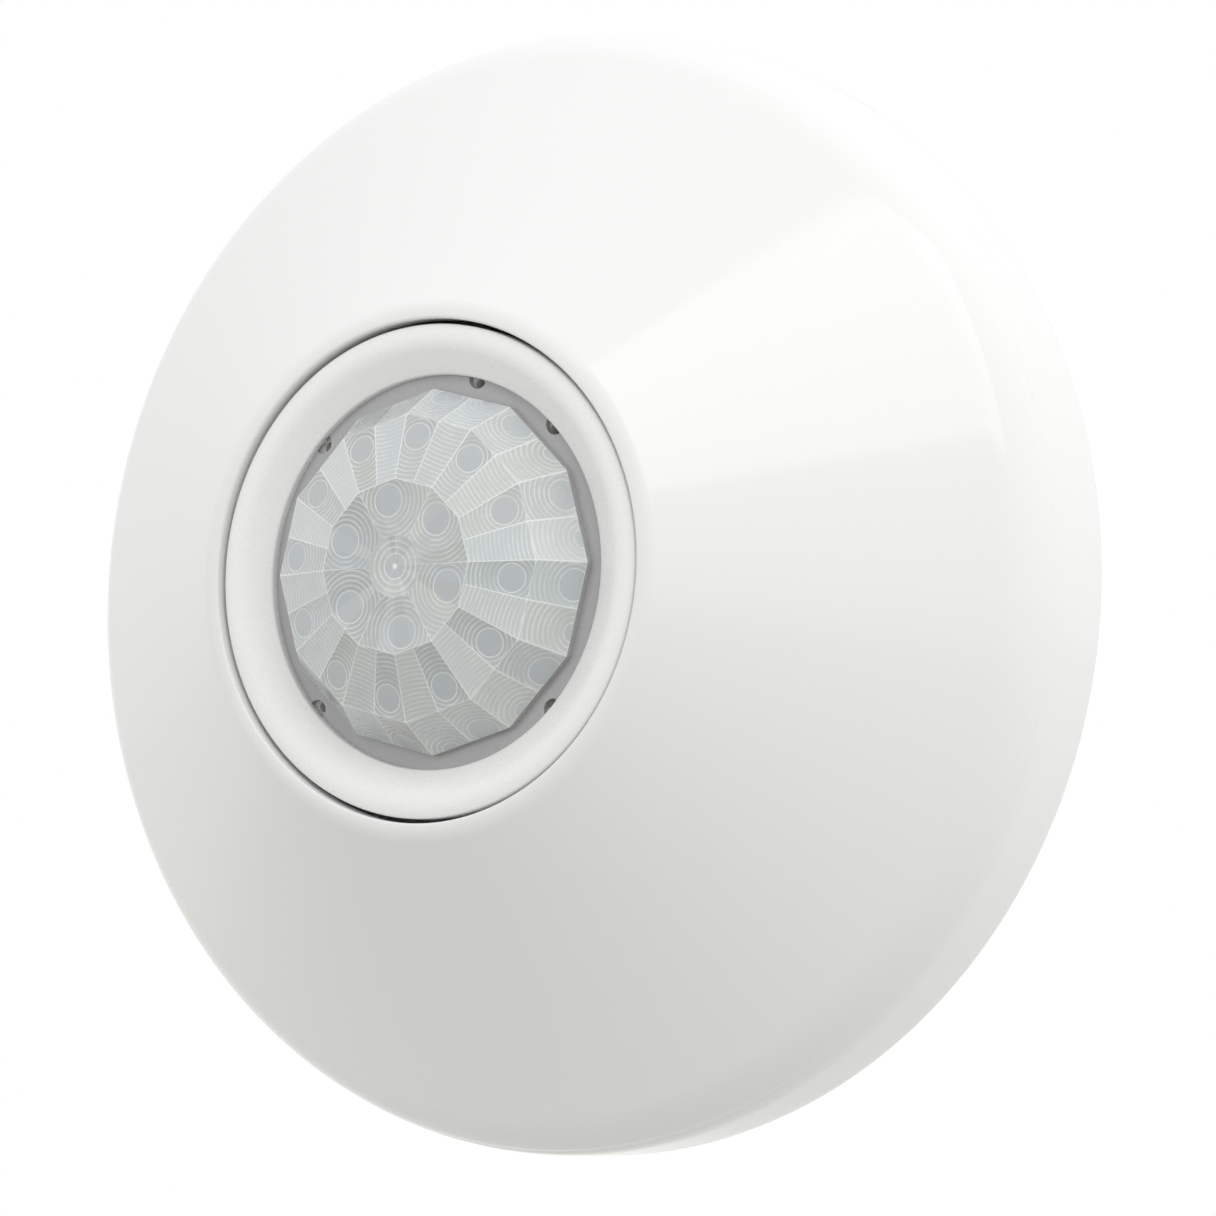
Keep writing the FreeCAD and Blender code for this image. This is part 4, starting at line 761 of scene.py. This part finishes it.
def lens_material(name):
    """Milky polyethylene with moulded grooves about each small lens, and light seams between them."""
    s = Shader(name)
    place = s.node("ShaderNodeSeparateXYZ", {0: s.attribute("lens_place", "Vector")})
    kind = s.node("ShaderNodeSeparateXYZ", {0: s.attribute("lens_kind", "Vector")})
    seam = s.attribute("lens_seam", "Fac")
    u, v, disc = place.outputs
    pitch, wall, tone = kind.outputs
    distance = s.math("SQRT", s.math("ADD", s.math("MULTIPLY", u, u), s.math("MULTIPLY", v, v)))
    beyond = s.math("SUBTRACT", distance, disc)
    grooved = s.math("MULTIPLY", s.span(beyond, -0.04, 0.06), s.math("SUBTRACT", 1.0, wall))
    bare = s.math("SUBTRACT", s.math("SUBTRACT", 1.0, grooved), wall)
    share = s.math("FRACT", s.math("DIVIDE", beyond, pitch))
    ridge = s.math("MAXIMUM", s.span(share, 0.0, 0.22, 1.0, 0.0), s.span(share, 0.78, 1.0))
    fade = s.span(s.noise(2.2, 3.0), 0.35, 0.65, 0.45, 1.0)
    lines = s.math("MULTIPLY", s.math("MULTIPLY", ridge, grooved), fade)
    edge = s.span(s.math("ABSOLUTE", beyond), 0.0, 0.09, 1.0, 0.0)
    rim = s.math("MULTIPLY", edge, s.math("SUBTRACT", 1.0, wall))
    cloud = s.noise(3.5, 4.0)
    film = s.mix(cloud, shade(FILM, 0.96), shade(FILM, 1.04))
    tones = s.mix(s.span(tone, -1.0, 1.0, smooth=False), shade(FILM, 0.78), shade(FILM, 1.24))
    film = s.mix(0.7, film, tones)
    tint = s.mix(s.math("FRACT", s.math("MULTIPLY", tone, 4.7)), WARM_TINT, COOL_TINT)
    film = s.mix(1.0, film, tint, "MULTIPLY")
    blob = s.mix(s.math("MULTIPLY", bare, 0.5), film, BLOB)
    lined = s.mix(s.math("MULTIPLY", lines, LINE_SHARE), blob, RIDGE)
    lined = s.mix(s.math("MULTIPLY", rim, RIM_SHARE), lined, RIDGE)
    lined = s.mix(s.math("MULTIPLY", s.span(seam, 0.35, 1.0), SEAM_SHARE), lined, RIDGE)
    s.set(Base_Color=s.mix(wall, lined, FLANGE))
    saw = s.math("MULTIPLY", share, grooved)
    normal = s.bump(s.noise(0.5, 2.0), LENS_GRAIN_DEPTH, s.bump(saw, SAW_DEPTH))
    s.set(Normal=normal, Roughness=s.span(cloud, 0.3, 0.7, 0.22, 0.34))
    s.set(Coat_Weight=0.5, Coat_Roughness=0.10)
    return s.material


def make_materials():
    """One material for each material slot of the record."""
    return {
        "cover_plastic": moulded("cover_white", (0.822, 0.822, 0.820), 0.11, 0.45, 0.0006,
                                 wave=0.002, spread=0.005),
        "ring_plastic": moulded("ring_white", (0.878, 0.878, 0.871), 0.28, 0.30, 0.002,
                                wave=0.002, spread=0.008),
        "lens_film": lens_material("lens_film"),
        "housing_plastic": moulded("housing_white", (0.80, 0.80, 0.785), 0.50, 0.28, 0.010),
        "plate_plastic": moulded("plate_white", (0.78, 0.78, 0.765), 0.55, 0.32, 0.014),
        "soft_grey": moulded("soft_grey", (0.13, 0.13, 0.135), 0.70, 0.25, 0.020),
        "zinc_steel": metal("zinc_steel", (0.68, 0.69, 0.70), 0.28, (1, 6, 1)),
        "nickel_steel": metal("nickel_steel", (0.70, 0.68, 0.64), 0.20, (1, 4, 1)),
        "board_green": board("board_green", (0.020, 0.105, 0.048)),
        "terminal_green": moulded("terminal_green", (0.045, 0.24, 0.10), 0.42, 0.25, 0.010),
        "black_plastic": moulded("black_plastic", (0.022, 0.022, 0.024), 0.48, 0.22, 0.012, spread=0.10),
        "relay_plastic": moulded("relay_blue", (0.035, 0.12, 0.34), 0.30, 0.35, 0.006),
        "film_plastic": moulded("film_red", (0.40, 0.055, 0.035), 0.26, 0.50, 0.008),
        "aluminium_can": metal("aluminium_can", (0.72, 0.73, 0.75), 0.30, (1, 8, 1)),
        "tinned_copper": metal("tinned_copper", (0.70, 0.69, 0.66), 0.24, (1, 3, 1)),
        "ferrite": moulded("ferrite", (0.055, 0.052, 0.052), 0.62, 0.20, 0.030, spread=0.12),
        "copper_wire": winding("copper_wire", (0.62, 0.25, 0.09)),
        "ceramic_white": moulded("ceramic_white", (0.70, 0.67, 0.60), 0.38, 0.20, 0.006),
        "trimmer_blue": moulded("trimmer_blue", (0.045, 0.13, 0.36), 0.40, 0.25, 0.008),
        "dial_plastic": moulded("dial_grey", (0.42, 0.43, 0.44), 0.45, 0.22, 0.010),
        "button_plastic": moulded("button_grey", (0.20, 0.215, 0.23), 0.45, 0.22, 0.010),
        "nylon": moulded("nylon", (0.74, 0.71, 0.62), 0.42, 0.40, 0.006),
        "silicon_window": metal("silicon_window", (0.10, 0.09, 0.11), 0.08, (1, 1, 1), 0.0005, 0.4),
        "led_red": moulded("led_red", (0.48, 0.030, 0.022), 0.12, 0.60, 0.002, coat=0.6),
        "photocell_clear": moulded("photocell", (0.45, 0.36, 0.22), 0.15, 0.60, 0.002, coat=0.6),
    }


def dress(obj, material):
    obj.data.materials.clear()
    obj.data.materials.append(material)


# ------------------------------------------------------------------ camera, light, floor
CAMERA_PLACE = (0.335009, -0.522704, -0.056705)
CAMERA_RIGHT = (0.841665, 0.54, 0.0)
CAMERA_UP = (0.048119, -0.075, 0.996022)
CAMERA_BACK = (0.537852, -0.838317, -0.089109)
CAMERA_LENS, CAMERA_SENSOR, CAMERA_NEAR = 177.63, 36.0, 0.01
KEY_AZIMUTH, KEY_ELEVATION, KEY_DISTANCE, KEY_SIZE, KEY_RADIANCE = 46, 40, 1.2, (0.76, 0.80), 1.33
SURROUND_LEFT, SURROUND_RIGHT = 1.0, 1.25
FLOOR_SIDES, FLOOR_RADIUS, FLOOR_HEIGHT = 96, 3.0, -0.13
# millimetres: middle of the floor's grey area, its reach, and where the floor is white
GREY_MIDDLE, GREY_REACH, WHITE_REACH = (120.0, -600.0, -130.0), 380.0, 950.0
FLOOR_GREYS, FLOOR_WHITE = ((0.41, 0.41, 0.385), (0.44, 0.44, 0.415)), (0.90, 0.90, 0.87)


def make_camera():
    camera = bpy.data.objects.new("camera", bpy.data.cameras.new("camera"))
    bpy.context.scene.collection.objects.link(camera)
    axes = [Vector(axis) for axis in (CAMERA_RIGHT, CAMERA_UP, CAMERA_BACK)]
    turn = Matrix(axes).transposed().to_4x4()
    camera.matrix_world = Matrix.Translation(CAMERA_PLACE) @ turn
    camera.data.lens = CAMERA_LENS
    camera.data.sensor_width = CAMERA_SENSOR
    camera.data.clip_start = CAMERA_NEAR
    bpy.context.scene.camera = camera


def softbox(name, azimuth, elevation, distance, size, radiance):
    """Area light aimed at the lens; azimuth runs from the front to the right."""
    az, el = math.radians(azimuth), math.radians(elevation)
    direction = Vector((math.sin(az) * math.cos(el), -math.cos(az) * math.cos(el), math.sin(el)))
    data = bpy.data.lights.new(name, "AREA")
    data.shape = "RECTANGLE"
    data.size, data.size_y = size
    # a surface of this size that gives off the radiance evenly
    data.energy = radiance * math.pi * size[0] * size[1]
    light = bpy.data.objects.new(name, data)
    light.location = direction * distance
    light.rotation_euler = direction.to_track_quat("Z", "Y").to_euler()
    bpy.context.scene.collection.objects.link(light)


def make_world():
    """Even white surround, brighter towards the right."""
    world = bpy.data.worlds.new("surround")
    world.use_nodes = True
    tree = world.node_tree
    back = tree.nodes["Background"]
    coordinates = tree.nodes.new("ShaderNodeTexCoord")
    split = tree.nodes.new("ShaderNodeSeparateXYZ")
    tree.links.new(coordinates.outputs["Generated"], split.inputs[0])
    span = tree.nodes.new("ShaderNodeMapRange")
    span.inputs["To Min"].default_value = SURROUND_LEFT
    span.inputs["To Max"].default_value = SURROUND_RIGHT
    tree.links.new(split.outputs["X"], span.inputs["Value"])
    tree.links.new(span.outputs["Result"], back.inputs["Strength"])
    back.inputs["Color"].default_value = (1, 1, 1, 1)
    bpy.context.scene.world = world


def make_floor():
    """Pale round floor under the sensor."""
    turns = [2 * math.pi * k / FLOOR_SIDES for k in range(FLOOR_SIDES)]
    points = [(FLOOR_RADIUS * math.cos(t), FLOOR_RADIUS * math.sin(t), FLOOR_HEIGHT) for t in turns]
    mesh = bpy.data.meshes.new("floor")
    mesh.from_pydata(points, [], [list(range(FLOOR_SIDES))])
    floor = bpy.data.objects.new("floor", mesh)
    bpy.context.scene.collection.objects.link(floor)
    # grey in front of the sensor, fading to white behind it and further out
    s = Shader("floor_pale")
    away = s.node("ShaderNodeVectorMath", {0: s.place(), 1: GREY_MIDDLE}, operation="DISTANCE")
    white = s.span(away.outputs["Value"], GREY_REACH, WHITE_REACH)
    grey = s.mix(s.noise(400.0), *FLOOR_GREYS)
    s.set(Base_Color=s.mix(white, grey, FLOOR_WHITE), Roughness=0.8)
    mesh.materials.append(s.material)


# ------------------------------------------------------------------ assembly
materials = make_materials()
for part in frame["record"]["subparts"]:
    dress(NODES[part["node"]], materials[part["material_slot"]])

for piece, node, body, slot in (
        (make_cover(), "cover", "cover", "cover_plastic"),
        (make_ring(), "lens_ring", "base", "ring_plastic"),
        (make_lens(), "fresnel_lens", "base", "lens_film")):
    dress(piece, materials[slot])
    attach(piece, body)
    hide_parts(node)

make_camera()
make_world()
make_floor()
softbox("key", KEY_AZIMUTH, KEY_ELEVATION, KEY_DISTANCE, KEY_SIZE, KEY_RADIANCE)
bpy.context.scene.view_settings.view_transform = "Standard"
